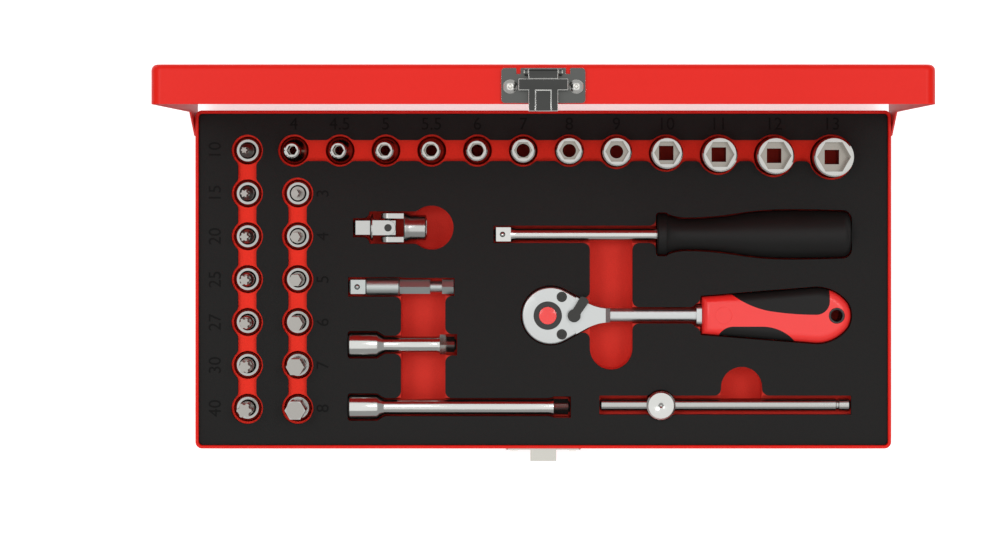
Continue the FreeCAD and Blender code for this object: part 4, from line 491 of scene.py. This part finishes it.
def bit_metal(name, middle, first, pitch, steel):
    """Chrome outside and dark bare steel on the bit, told apart by the distance from each bit's axis."""
    made, tree, shader = new_material(name, Metallic=1.0)
    place = tree.nodes.new("ShaderNodeTexCoord").outputs["Object"]
    split = add_node(tree, "ShaderNodeSeparateXYZ", Vector=place)
    across = maths(tree, "SUBTRACT", split.outputs["X"], middle)
    along = maths(tree, "ADD", maths(tree, "SUBTRACT", split.outputs["Y"], first), pitch * PITCHES_BACK)
    along = maths(tree, "SUBTRACT", maths(tree, "MODULO", along, pitch), pitch / 2)
    squares = [maths(tree, "MULTIPLY", value, value) for value in (across, along)]
    inside = maths(tree, "LESS_THAN", maths(tree, "SQRT", maths(tree, "ADD", *squares)), BIT_RADIUS)
    out = place_group(tree, wear_group(), Roughness=HOLDER_ROUGHNESS, Scale=STREAK_SCALE, Amount=CHROME_WEAR)
    rough = maths(tree, "ADD", out["Roughness"], maths(tree, "MULTIPLY", inside, BIT_ADDED_ROUGHNESS))
    colour = mix_colour(tree, inside, solid(HOLDER_CHROME), solid(steel))
    tree.links.new(colour, shader.inputs["Base Color"])
    tree.links.new(rough, shader.inputs["Roughness"])
    bump(tree, shader, out["Height"], STREAK_DEPTH)
    return made


def chrome_with_painted_hollow_shade(name, rim):
    """Chrome at a socket's rim that turns darker down in its hollow, by height: painted shade."""
    made, tree, shader = new_material(name, Metallic=1.0)
    place = tree.nodes.new("ShaderNodeTexCoord").outputs["Object"]
    height = add_node(tree, "ShaderNodeSeparateXYZ", Vector=place).outputs["Z"]
    bright = add_node(tree, "ShaderNodeMapRange", Value=height)
    bright.inputs["From Min"].default_value = rim - SOCKET_SHADE_AT
    bright.inputs["From Max"].default_value = rim - SOCKET_SHADE_FROM
    out = place_group(tree, wear_group(), Roughness=CHROME_ROUGHNESS, Scale=STREAK_SCALE, Amount=CHROME_WEAR)
    # painted shade: the colour goes from the rim's chrome to a dark tone down the hollow
    colour = mix_colour(tree, bright.outputs[0], solid(SOCKET_HOLLOW_SHADE), solid(SOCKET_CHROME))
    tree.links.new(colour, shader.inputs["Base Color"])
    tree.links.new(out["Roughness"], shader.inputs["Roughness"])
    bump(tree, shader, out["Height"], STREAK_DEPTH)
    return made


def coat(node, material):
    """Give a CAD node a finish."""
    slots = NODES[node].data.materials
    if len(slots) == 0:
        slots.append(material)
    for index in range(len(slots)):
        slots[index] = material


def shown(piece, node):
    """Let a finished piece stand for a CAD node, on its body."""
    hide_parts(node)
    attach(piece, BODY_OF[node])
    return piece


def plain_mesh(piece):
    """Turn a piece's modifiers into plain mesh."""
    graph = bpy.context.evaluated_depsgraph_get()
    mesh = bpy.data.meshes.new_from_object(piece.evaluated_get(graph))
    piece.modifiers.clear()
    piece.data = mesh


def merge_seams(shape):
    """Join the split vertices of a CAD mesh, and shade it smooth except at its true edges."""
    bmesh.ops.remove_doubles(shape, verts=shape.verts, dist=MERGE_DISTANCE)
    for face in shape.faces:
        face.smooth = True
    for edge in shape.edges:
        edge.smooth = len(edge.link_faces) == 2 and edge.calc_face_angle() < trim().sharp_angle


def bevel(piece, width, method, harden=True):
    """Round a piece's edges, all sharp ones or those with a weight."""
    made = piece.modifiers.new("Edges", "BEVEL")
    made.width = width
    made.segments = 2
    made.limit_method = method
    made.angle_limit = trim().sharp_angle
    made.harden_normals = harden
    made.loop_slide = False
    return made


def refine(node, material, width=0.0, edge_material=None):
    """A finer copy of a CAD node: merged seams, smooth curves and, if a width is given, rounded edges."""
    shape = bmesh.new()
    shape.from_mesh(NODES[node].data)
    merge_seams(shape)
    for face in shape.faces:
        face.material_index = 0
    piece = mesh_piece(f"{node}_fine", shape, material)
    if width > 0:
        made = bevel(piece, width, "ANGLE")
        if edge_material is not None:
            piece.data.materials.append(edge_material)
            made.material = 1
        plain_mesh(piece)
    return shown(piece, node)


def foam_block(point):
    """Which of the abutting blocks of a foam layer holds a point."""
    behind = point.y > FOAM_SEAM_REAR
    seams = FOAM_SEAMS_SOCKETS if behind else FOAM_SEAMS_TOOLS
    return behind, sum(point.x > seam for seam in seams)


def on_seam(face):
    """Whether a face is where two blocks of a foam layer meet."""
    centre, normal = face.calc_center_median(), face.normal
    if abs(normal.y) > UPRIGHT:
        return abs(centre.y - FOAM_SEAM_REAR) < PLANE_SLACK
    seams = FOAM_SEAMS_SOCKETS + FOAM_SEAMS_TOOLS
    return abs(normal.x) > UPRIGHT and any(abs(centre.x - seam) < PLANE_SLACK for seam in seams)


def soft_foam(node, material):
    """A foam layer whose cut edges are rounded, block by block, so that no seam shows."""
    source = bmesh.new()
    source.from_mesh(NODES[node].data)
    blocks = {}
    for face in source.faces:
        inside = face.calc_center_median() - face.normal * FACE_INSIDE
        blocks.setdefault(foam_block(inside), []).append(face.index)
    combined = bmesh.new()
    weight = combined.edges.layers.float.new("bevel_weight_edge")
    for chosen in blocks.values():
        kept = set(chosen)
        block = source.copy()
        block.faces.index_update()
        dropped = [face for face in block.faces if face.index not in kept]
        bmesh.ops.delete(block, geom=dropped, context="FACES")
        merge_seams(block)
        block_weight = block.edges.layers.float.new("bevel_weight_edge")
        for edge in block.edges:
            faces = edge.link_faces
            if len(faces) == 2 and edge.is_convex and not any(on_seam(face) for face in faces):
                heights = sorted(face.normal.z for face in faces)
                edge[block_weight] = float(heights[1] > TOP_FACES and heights[0] < WALL_FACES)
        part = bpy.data.meshes.new("block")
        block.to_mesh(part)
        block.free()
        combined.from_mesh(part)
        bpy.data.meshes.remove(part)
    source.free()
    for face in combined.faces:
        face.material_index = 0
        face.smooth = abs(face.normal.z) < LEVEL
    piece = mesh_piece(f"{node}_soft", combined, material)
    bevel(piece, trim().foam_edge, "WEIGHT", harden=False)
    plain_mesh(piece)
    return shown(piece, node)


class CaseFinish(bpy.types.Operator):
    """Paint the steel case, and plate its latch, catch and rivets"""

    bl_idname = "tool_set.case_finish"
    bl_label = "Case and latch finish"

    def execute(self, context):
        look = settings()
        paint = speckled(
            "case_red_paint", look.case_red, scale=700.0, cloud=14.0, amount=0.05, grain=0.02,
            depth=0.02 * MM, Roughness=look.paint_roughness, Specular_IOR_Level=0.2,
        )
        for node in ("case_base", "case_lid"):
            coat(node, paint)
        # painted highlight: the rounded edges of the latch plate and lever take a light steel, while the
        # plate's own steel is darkened as painted reflection
        bright = stock_metal("bright_edge_steel")
        refine("latch_plate", stock_metal("latch_plated_steel"), PLATE_EDGE, bright)
        refine("latch_lever", stock_metal("latch_dark_steel"), LEVER_EDGE, bright)
        nickel = stock_metal("catch_nickel")
        for node in ("latch_pin", "catch_plate", "lid_pivot_rivets"):
            refine(node, nickel)
        rivets = stock_metal("rivet_nickel")
        for node in ("latch_rivets", "catch_rivets"):
            refine(node, rivets)
        return {"FINISHED"}


class FoamFinish(bpy.types.Operator):
    """Give both foam layers their closed cells"""

    bl_idname = "tool_set.foam_finish"
    bl_label = "Foam finish"

    def execute(self, context):
        look = settings()
        cells = 1.0 / look.foam_cell
        red = speckled(
            "red_foam", look.foam_red, scale=cells, cloud=22.0, amount=0.12, grain=0.10, depth=0.06 * MM,
            Roughness=0.8, Specular_IOR_Level=0.3,
        )
        black = speckled(
            "black_foam", look.foam_black, scale=cells, cloud=16.0, amount=0.3, grain=0.35, depth=0.08 * MM,
            Roughness=0.72, Specular_IOR_Level=0.27,
        )
        soft_foam("foam_red", red)
        soft_foam("foam_black", black)
        return {"FINISHED"}


def standing_tools(start, axis):
    """A row of tools that stand, in order: each one's place along and across the row, radius and floor."""
    tools = []
    for node in NODES:
        if node.startswith(start):
            low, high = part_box(node)
            middle = ((low[0] + high[0]) / 2, (low[1] + high[1]) / 2)
            tools.append((middle[axis], middle[1 - axis], (high[axis] - low[axis]) / 2, low[2]))
    return sorted(tools)


def seat_rings(tool, before, after, top):
    """The rings of one seat, along and across the row: a plate with a round hole, rounded at its top."""
    size = trim()
    along, across, radius, floor = tool
    low = floor - size.seat_sink
    hole = radius + size.seat_gap
    reach = radius + size.seat_reach
    edge = size.foam_edge
    rounded = [(hole + edge * (1 - math.sin(a)), top - edge * (1 - math.cos(a))) for a in SEAT_EDGE_TURNS]
    columns = []
    for point in ring_points((0.0, 0.0), 1.0, SEAT_STEPS):
        ahead = (after - along if point.x > 0 else along - before) / max(abs(point.x), TINY)
        out = min(ahead, reach / max(abs(point.y), TINY))
        spans = [(out, low), (out, top), *rounded, (hole, low)]
        columns.append([(along + point.x * span, across + point.y * span, height) for span, height in spans])
    return [list(ring) for ring in zip(*columns)]


class FoamSeats(bpy.types.Operator):
    """Seat the tools that stand in a red floor that fits them closely, just below the black layer"""

    bl_idname = "tool_set.foam_seats"
    bl_label = "Foam seats"

    def execute(self, context):
        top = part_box("foam_red")[1][2] - trim().seat_drop
        shape = bmesh.new()
        reach = trim().seat_reach
        for start, axis in STANDING_ROWS:
            tools = standing_tools(start, axis)
            first, last = tools[0], tools[-1]
            limits = [(one[0] + other[0]) / 2 for one, other in zip(tools, tools[1:])]
            limits.insert(0, first[0] - first[2] - reach)
            limits.append(last[0] + last[2] + reach)
            for tool, before, after in zip(tools, limits, limits[1:]):
                rings = []
                for ring in seat_rings(tool, before, after, top):
                    turned = ring if axis == 0 else [(across, along, z) for along, across, z in ring]
                    rings.append([shape.verts.new(point) for point in turned])
                skin_rings(shape, rings)
        for face in shape.faces:
            face.smooth = abs(face.normal.z) < LEVEL
        look = settings()
        # painted light: the seats take a lighter red than the red foam's own
        floor = speckled(
            "red_foam_floor", look.foam_floor_painted_light, scale=1.0 / look.foam_cell, cloud=22.0, amount=0.12,
            grain=0.10, depth=0.06 * MM, Roughness=0.85, Specular_IOR_Level=0.15,
        )
        piece = mesh_piece("foam_seats", shape, floor)
        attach(piece, "case")
        return {"FINISHED"}


class ToolFinish(bpy.types.Operator):
    """Plate the steel tools, and finish the bits and grips"""

    bl_idname = "tool_set.tool_finish"
    bl_label = "Tool finish"

    def execute(self, context):
        look = settings()
        chrome = metal("tool_chrome", look.chrome, CHROME_ROUGHNESS)
        # the sockets' chrome carries painted shade down their hollows
        hollow = chrome_with_painted_hollow_shade("socket_chrome", rim=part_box("socket_4")[1][2])
        satin = metal("satin_chrome", SATIN_CHROME, roughness=0.34, amount=0.1, scale=SATIN_SCALE)
        soft_chrome = stock_metal("joint_chrome")
        black_steel = stock_metal("black_steel")
        for node in NODES:
            if node.startswith("socket_"):
                refine(node, hollow)
            elif node.endswith("_extension"):
                refine(node, chrome)
            elif node.startswith("joint_"):
                # the joint's flush pins are black steel as painted shade, standing for dark pin holes
                refine(node, black_steel if node == "joint_pins" else soft_chrome, JOINT_EDGE)
        refine("spinner_shaft", chrome)
        refine("sliding_head", chrome)
        refine("sliding_bar", stock_metal("bar_chrome"))
        refine("bit_adapter", stock_metal("adapter_steel"), ADAPTER_EDGE)
        for kind in ("star", "hex"):
            (first, middle, *_), (second, *_) = standing_tools(f"{kind}_bit_socket_", 1)[:2]
            finish = bit_metal(f"{kind}_bit_steel", middle, first, second - first, look.dark_steel)
            for node in NODES:
                if node.startswith(f"{kind}_bit_socket_"):
                    refine(node, finish)
        for node in ("ratchet_body", "ratchet_cover", "ratchet_drive", "ratchet_collar", "ratchet_pawl"):
            refine(node, satin)
        for node in ("ratchet_screws", "ratchet_lever"):
            refine(node, black_steel, SCREW_EDGE)
        grip = speckled(
            "soft_black_grip", look.grip_black, scale=2600.0, cloud=25.0, amount=0.18, grain=0.2,
            depth=0.03 * MM, Roughness=0.5, Specular_IOR_Level=0.2,
        )
        for node in ("spinner_grip", "ratchet_pads"):
            refine(node, grip)
        red = speckled(
            "handle_red_plastic", look.grip_red, scale=2200.0, cloud=18.0, amount=0.06, grain=0.04,
            depth=0.012 * MM, Roughness=0.34, Coat_Weight=0.14, Coat_Roughness=0.2,
        )
        refine("ratchet_handle", red)
        button = speckled(
            "button_red_plastic", look.grip_red, scale=2200.0, cloud=40.0, amount=0.05, grain=0.02,
            depth=0.004 * MM, Roughness=0.16, Coat_Weight=0.5, Coat_Roughness=0.06,
        )
        refine("ratchet_button", button)
        black = speckled(
            "hard_black_plastic", look.grip_black, scale=2400.0, cloud=30.0, amount=0.1, grain=0.1,
            depth=0.01 * MM, Roughness=0.3,
        )
        refine("ratchet_bezel", black)
        return {"FINISHED"}


def joined_text(name, marks, material):
    """One mesh of all the numbers given as (text, x, y, turn), raised on the foam's top."""
    size = trim()
    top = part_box("foam_black")[1][2]
    combined = bmesh.new()
    for text, x, y, turn in marks:
        curve = bpy.data.curves.new("mark", "FONT")
        curve.body = text
        curve.size = size.mark_height * LETTER_SCALE
        curve.align_x = "CENTER"
        curve.align_y = "CENTER"
        curve.extrude = size.mark_depth / 2
        holder = bpy.data.objects.new("mark", curve)
        bpy.context.scene.collection.objects.link(holder)
        graph = bpy.context.evaluated_depsgraph_get()
        mesh = bpy.data.meshes.new_from_object(holder.evaluated_get(graph))
        middle = Matrix.Translation((x, y, top + size.mark_depth / 2))
        mesh.transform(middle @ Matrix.Rotation(turn, 4, "Z"))
        combined.from_mesh(mesh)
        bpy.data.objects.remove(holder)
        bpy.data.curves.remove(curve)
        bpy.data.meshes.remove(mesh)
    return mesh_piece(name, combined, material)


def mesh_piece(name, shape, material):
    """An object at the origin from a bmesh."""
    mesh = bpy.data.meshes.new(name)
    shape.to_mesh(mesh)
    shape.free()
    mesh.materials.append(material)
    made = bpy.data.objects.new(name, mesh)
    bpy.context.scene.collection.objects.link(made)
    return made


class SizeMarks(bpy.types.Operator):
    """Print the plain size number beside each socket's pocket"""

    bl_idname = "tool_set.size_marks"
    bl_label = "Size numbers"

    def execute(self, context):
        ink = speckled(
            "mark_ink", MARK_INK, scale=1800.0, cloud=40.0, amount=0.2, grain=0.1, depth=0.01 * MM,
            Roughness=0.6, Specular_IOR_Level=0.12,
        )
        marks = {"row": [], "star": [], "hex": []}
        for node in NODES:
            low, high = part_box(node)
            x, y = (low[0] + high[0]) / 2, (low[1] + high[1]) / 2
            text = node.split("_bit_socket_")[-1].replace("socket_", "").replace("_", ".")
            if node.startswith("socket_"):
                marks["row"].append((text, x, MARK_LINE, 0.0))
            elif node.startswith("star_bit_socket_"):
                marks["star"].append((text, x - STAR_MARK_OFFSET, y, math.pi / 2))
            elif node.startswith("hex_bit_socket_"):
                marks["hex"].append((text, x + HEX_MARK_OFFSET, y, math.pi / 2))
        for place, entries in marks.items():
            piece = joined_text(f"size_marks_{place}", entries, ink)
            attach(piece, "case")
        return {"FINISHED"}


def rail_tree(name, material):
    """Geometry nodes: a bead of a given radius along a rounded rectangle."""
    tree = bpy.data.node_groups.new(name, "GeometryNodeTree")
    for label in ("Width", "Depth", "Corner", "Height", "Radius"):
        tree.interface.new_socket(label, in_out="INPUT", socket_type=FLOAT)
    tree.interface.new_socket("Geometry", in_out="OUTPUT", socket_type="NodeSocketGeometry")
    given = tree.nodes.new("NodeGroupInput").outputs
    width, depth = given["Width"], given["Depth"]
    path = add_node(tree, "GeometryNodeCurvePrimitiveQuadrilateral", Width=width, Height=depth)
    bend = add_node(tree, "GeometryNodeFilletCurve", Curve=path.outputs[0], Radius=given["Corner"])
    bend.mode = "POLY"
    bend.inputs["Count"].default_value = 6
    lift = tree.nodes.new("ShaderNodeCombineXYZ")
    tree.links.new(given["Height"], lift.inputs["Z"])
    raised = add_node(tree, "GeometryNodeSetPosition", Geometry=bend.outputs[0], Offset=lift.outputs[0])
    ring = add_node(tree, "GeometryNodeCurvePrimitiveCircle", Resolution=12, Radius=given["Radius"])
    tube = add_node(
        tree, "GeometryNodeCurveToMesh", Curve=raised.outputs[0], Profile_Curve=ring.outputs[0]
    )
    real = add_node(tree, "GeometryNodeRealizeInstances", Geometry=tube.outputs[0])
    smooth = add_node(tree, "GeometryNodeSetShadeSmooth", Geometry=real.outputs[0])
    painted = add_node(tree, "GeometryNodeSetMaterial", Geometry=smooth.outputs[0])
    painted.inputs["Material"].default_value = material
    end = tree.nodes.new("NodeGroupOutput")
    tree.links.new(painted.outputs[0], end.inputs[0])
    return tree


def from_tree(name, tree, material, **values):
    """The plain mesh that a geometry node tree gives with these inputs."""
    mesh = bpy.data.meshes.new(f"{name}_seed")
    seed = bpy.data.objects.new(f"{name}_seed", mesh)
    bpy.context.scene.collection.objects.link(seed)
    modifier = seed.modifiers.new("Tree", "NODES")
    modifier.node_group = tree
    for item in tree.interface.items_tree:
        if item.in_out == "INPUT" and item.name in values:
            modifier[item.identifier] = values[item.name]
    graph = bpy.context.evaluated_depsgraph_get()
    result = bpy.data.meshes.new_from_object(seed.evaluated_get(graph))
    bpy.data.objects.remove(seed)
    bpy.data.meshes.remove(mesh)
    result.name = name
    result.materials.clear()
    result.materials.append(material)
    made = bpy.data.objects.new(name, result)
    bpy.context.scene.collection.objects.link(made)
    return made


class RimHem(bpy.types.Operator):
    """Fold a hem along the rim of the base"""

    bl_idname = "tool_set.rim_hem"
    bl_label = "Rim hem"

    def execute(self, context):
        radius = trim().hem_radius
        low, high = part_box("case_base")
        paint = bpy.data.materials["case_red_paint"]
        inset = radius + HEM_INSET
        piece = from_tree(
            "case_rim_hem",
            rail_tree("Rim hem", paint),
            paint,
            Width=high[0] - low[0] - 2 * inset,
            Depth=high[1] - low[1] - 2 * inset,
            Corner=HEM_CORNER,
            Height=high[2] - radius,
            Radius=radius,
        )
        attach(piece, "case")
        return {"FINISHED"}


def ring_points(centre, radius, steps):
    """Points on a level circle."""
    for step in range(steps):
        angle = 2 * math.pi * step / steps
        yield Vector((centre[0] + radius * math.cos(angle), centre[1] + radius * math.sin(angle), 0.0))


def skin_rings(shape, rings):
    """Smooth faces between rings of vertices, closed from the last to the first."""
    for i, ring in enumerate(rings):
        after = rings[(i + 1) % len(rings)]
        for step in range(len(ring)):
            j = (step + 1) % len(ring)
            face = shape.faces.new((ring[step], ring[j], after[j], after[step]))
            face.smooth = True
    bmesh.ops.recalc_face_normals(shape, faces=shape.faces)


class HangHoleLiner(bpy.types.Operator):
    """Line the hanging hole of the ratchet's handle with a dark ring"""

    bl_idname = "tool_set.hang_hole_liner"
    bl_label = "Hanging hole liner"

    def execute(self, context):
        low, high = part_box("ratchet_handle")
        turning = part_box("ratchet_bezel")
        x = high[0] - HANG_HOLE_FROM_END
        y = (turning[0][1] + turning[1][1]) / 2
        shape = bmesh.new()
        profile = [(radius, low[2] + rise) for radius, rise in LINER_FOOT]
        profile += [(radius, high[2] + rise) for radius, rise in LINER_LIP]
        rings = []
        for radius, height in profile:
            points = ring_points((x, y), radius, LINER_STEPS)
            rings.append([shape.verts.new((point.x, point.y, height)) for point in points])
        skin_rings(shape, rings)
        piece = mesh_piece("hang_hole_liner", shape, bpy.data.materials["hard_black_plastic"])
        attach(piece, "ratchet")
        return {"FINISHED"}


class HandleRing(bpy.types.Operator):
    """Lay a faint moulded ring on the bare round place of the ratchet's handle"""

    bl_idname = "tool_set.handle_ring"
    bl_label = "Handle ring"

    def execute(self, context):
        low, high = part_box("ratchet_handle")
        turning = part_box("ratchet_bezel")
        centre = (low[0] + HANDLE_RING_FROM_END, (turning[0][1] + turning[1][1]) / 2)
        solid_handle = bmesh.new()
        solid_handle.from_mesh(NODES["ratchet_handle"].data)
        surface = BVHTree.FromBMesh(solid_handle)
        solid_handle.free()
        shape = bmesh.new()
        rings = []
        for radius, rise in RING_SECTION:
            ring = []
            for point in ring_points(centre, radius, RING_STEPS):
                point.z = high[2] + RAY_START
                place = surface.ray_cast(point, Vector((0, 0, -1)))[0]
                if place is None:
                    self.report({"ERROR"}, "The ring lies beside the handle")
                    return {"CANCELLED"}
                ring.append(shape.verts.new((place.x, place.y, place.z + rise)))
            rings.append(ring)
        skin_rings(shape, rings)
        piece = mesh_piece("handle_ring", shape, bpy.data.materials["handle_red_plastic"])
        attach(piece, "ratchet")
        return {"FINISHED"}


def camera_white(name, colour, strength):
    """A white surface that takes shadow, lifted to white where the camera or a reflection sees it."""
    made = bpy.data.materials.new(name)
    made.use_nodes = True
    tree = made.node_tree
    tree.nodes.remove(tree.nodes["Principled BSDF"])
    path = tree.nodes.new("ShaderNodeLightPath")
    seen = maths(tree, "MAXIMUM", path.outputs["Is Camera Ray"], path.outputs["Is Glossy Ray"])
    seen = maths(tree, "MAXIMUM", seen, path.outputs["Is Transmission Ray"])
    matt = add_node(tree, "ShaderNodeBsdfDiffuse", Color=colour)
    glow = add_node(tree, "ShaderNodeEmission", Color=(1, 1, 1, 1))
    tree.links.new(maths(tree, "MULTIPLY", seen, strength), glow.inputs["Strength"])
    both = tree.nodes.new("ShaderNodeAddShader")
    tree.links.new(matt.outputs[0], both.inputs[0])
    tree.links.new(glow.outputs[0], both.inputs[1])
    tree.links.new(both.outputs[0], tree.nodes["Material Output"].inputs["Surface"])
    return made


def area_light(name, place, target, size, energy):
    """A soft box that faces a point."""
    data = bpy.data.lights.new(name, "AREA")
    data.shape = "RECTANGLE"
    data.size, data.size_y = size
    data.energy = energy
    made = bpy.data.objects.new(name, data)
    made.location = place
    made.rotation_euler = (Vector(target) - Vector(place)).to_track_quat("-Z", "Y").to_euler()
    bpy.context.scene.collection.objects.link(made)
    return made


class Stage(bpy.types.Operator):
    """Set the white floor, the soft light and the overhead camera"""

    bl_idname = "tool_set.stage"
    bl_label = "Stage"

    def execute(self, context):
        scene = context.scene
        scene.view_settings.view_transform = "Standard"
        shape = bmesh.new()
        bmesh.ops.create_grid(shape, x_segments=1, y_segments=1, size=FLOOR_HALF)
        floor = mesh_piece("floor", shape, camera_white("floor_white", FLOOR_COLOUR, FLOOR_GLOW))
        floor.location.z = FLOOR_HEIGHT
        world = bpy.data.worlds.new("studio")
        world.use_nodes = True
        tree = world.node_tree
        back = tree.nodes["Background"]
        path = tree.nodes.new("ShaderNodeLightPath")
        back.inputs["Color"].default_value = (1, 1, 1, 1)
        added = maths(tree, "MULTIPLY", path.outputs["Is Camera Ray"], WORLD_SEEN - WORLD_LIGHT)
        tree.links.new(maths(tree, "ADD", added, WORLD_LIGHT), back.inputs["Strength"])
        scene.world = world
        area_light("overhead_softbox", OVERHEAD_PLACE, OVERHEAD_TARGET, OVERHEAD_SIZE, OVERHEAD_POWER)
        aside, behind, height = KEY_PLACE
        for name, x in (("left", -aside), ("right", aside)):
            area_light(f"key_softbox_{name}", (x, behind, height), (0.0, 0.0, 0.0), KEY_SIZE, KEY_POWER)
        data = bpy.data.cameras.new("overhead_camera")
        data.sensor_width = CAMERA_SENSOR
        data.lens = CAMERA_LENS
        data.shift_x, data.shift_y = CAMERA_SHIFT
        camera = bpy.data.objects.new("overhead_camera", data)
        camera.location = CAMERA_PLACE
        scene.collection.objects.link(camera)
        scene.camera = camera
        return {"FINISHED"}


class ToolSetPanel(bpy.types.Panel):
    """The steps that dress the tool set"""

    bl_idname = "VIEW3D_PT_tool_set"
    bl_label = "Tool set"
    bl_space_type = "VIEW_3D"
    bl_region_type = "UI"
    bl_category = "Tool set"

    def draw(self, context):
        for group in (settings(), trim()):
            for name in group.__annotations__:
                self.layout.prop(group, name)
        for step in STEPS:
            self.layout.operator(step.bl_idname)


STEPS = (CaseFinish, FoamFinish, FoamSeats, ToolFinish, SizeMarks, RimHem, HangHoleLiner, HandleRing, Stage)
CLASSES = (FinishSettings, TrimSettings, *STEPS, ToolSetPanel)


def register():
    """Add the classes and their settings."""
    for kind in CLASSES:
        bpy.utils.register_class(kind)
    bpy.types.Scene.tool_set_finish = bpy.props.PointerProperty(type=FinishSettings)
    bpy.types.Scene.tool_set_trim = bpy.props.PointerProperty(type=TrimSettings)


def unregister():
    """Take the classes and their settings away."""
    del bpy.types.Scene.tool_set_trim
    del bpy.types.Scene.tool_set_finish
    for kind in reversed(CLASSES):
        bpy.utils.unregister_class(kind)


def main():
    """Dress the set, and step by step."""
    register()
    for step in STEPS:
        group, name = step.bl_idname.split(".")
        getattr(getattr(bpy.ops, group), name)()


if __name__ == "__main__":
    main()
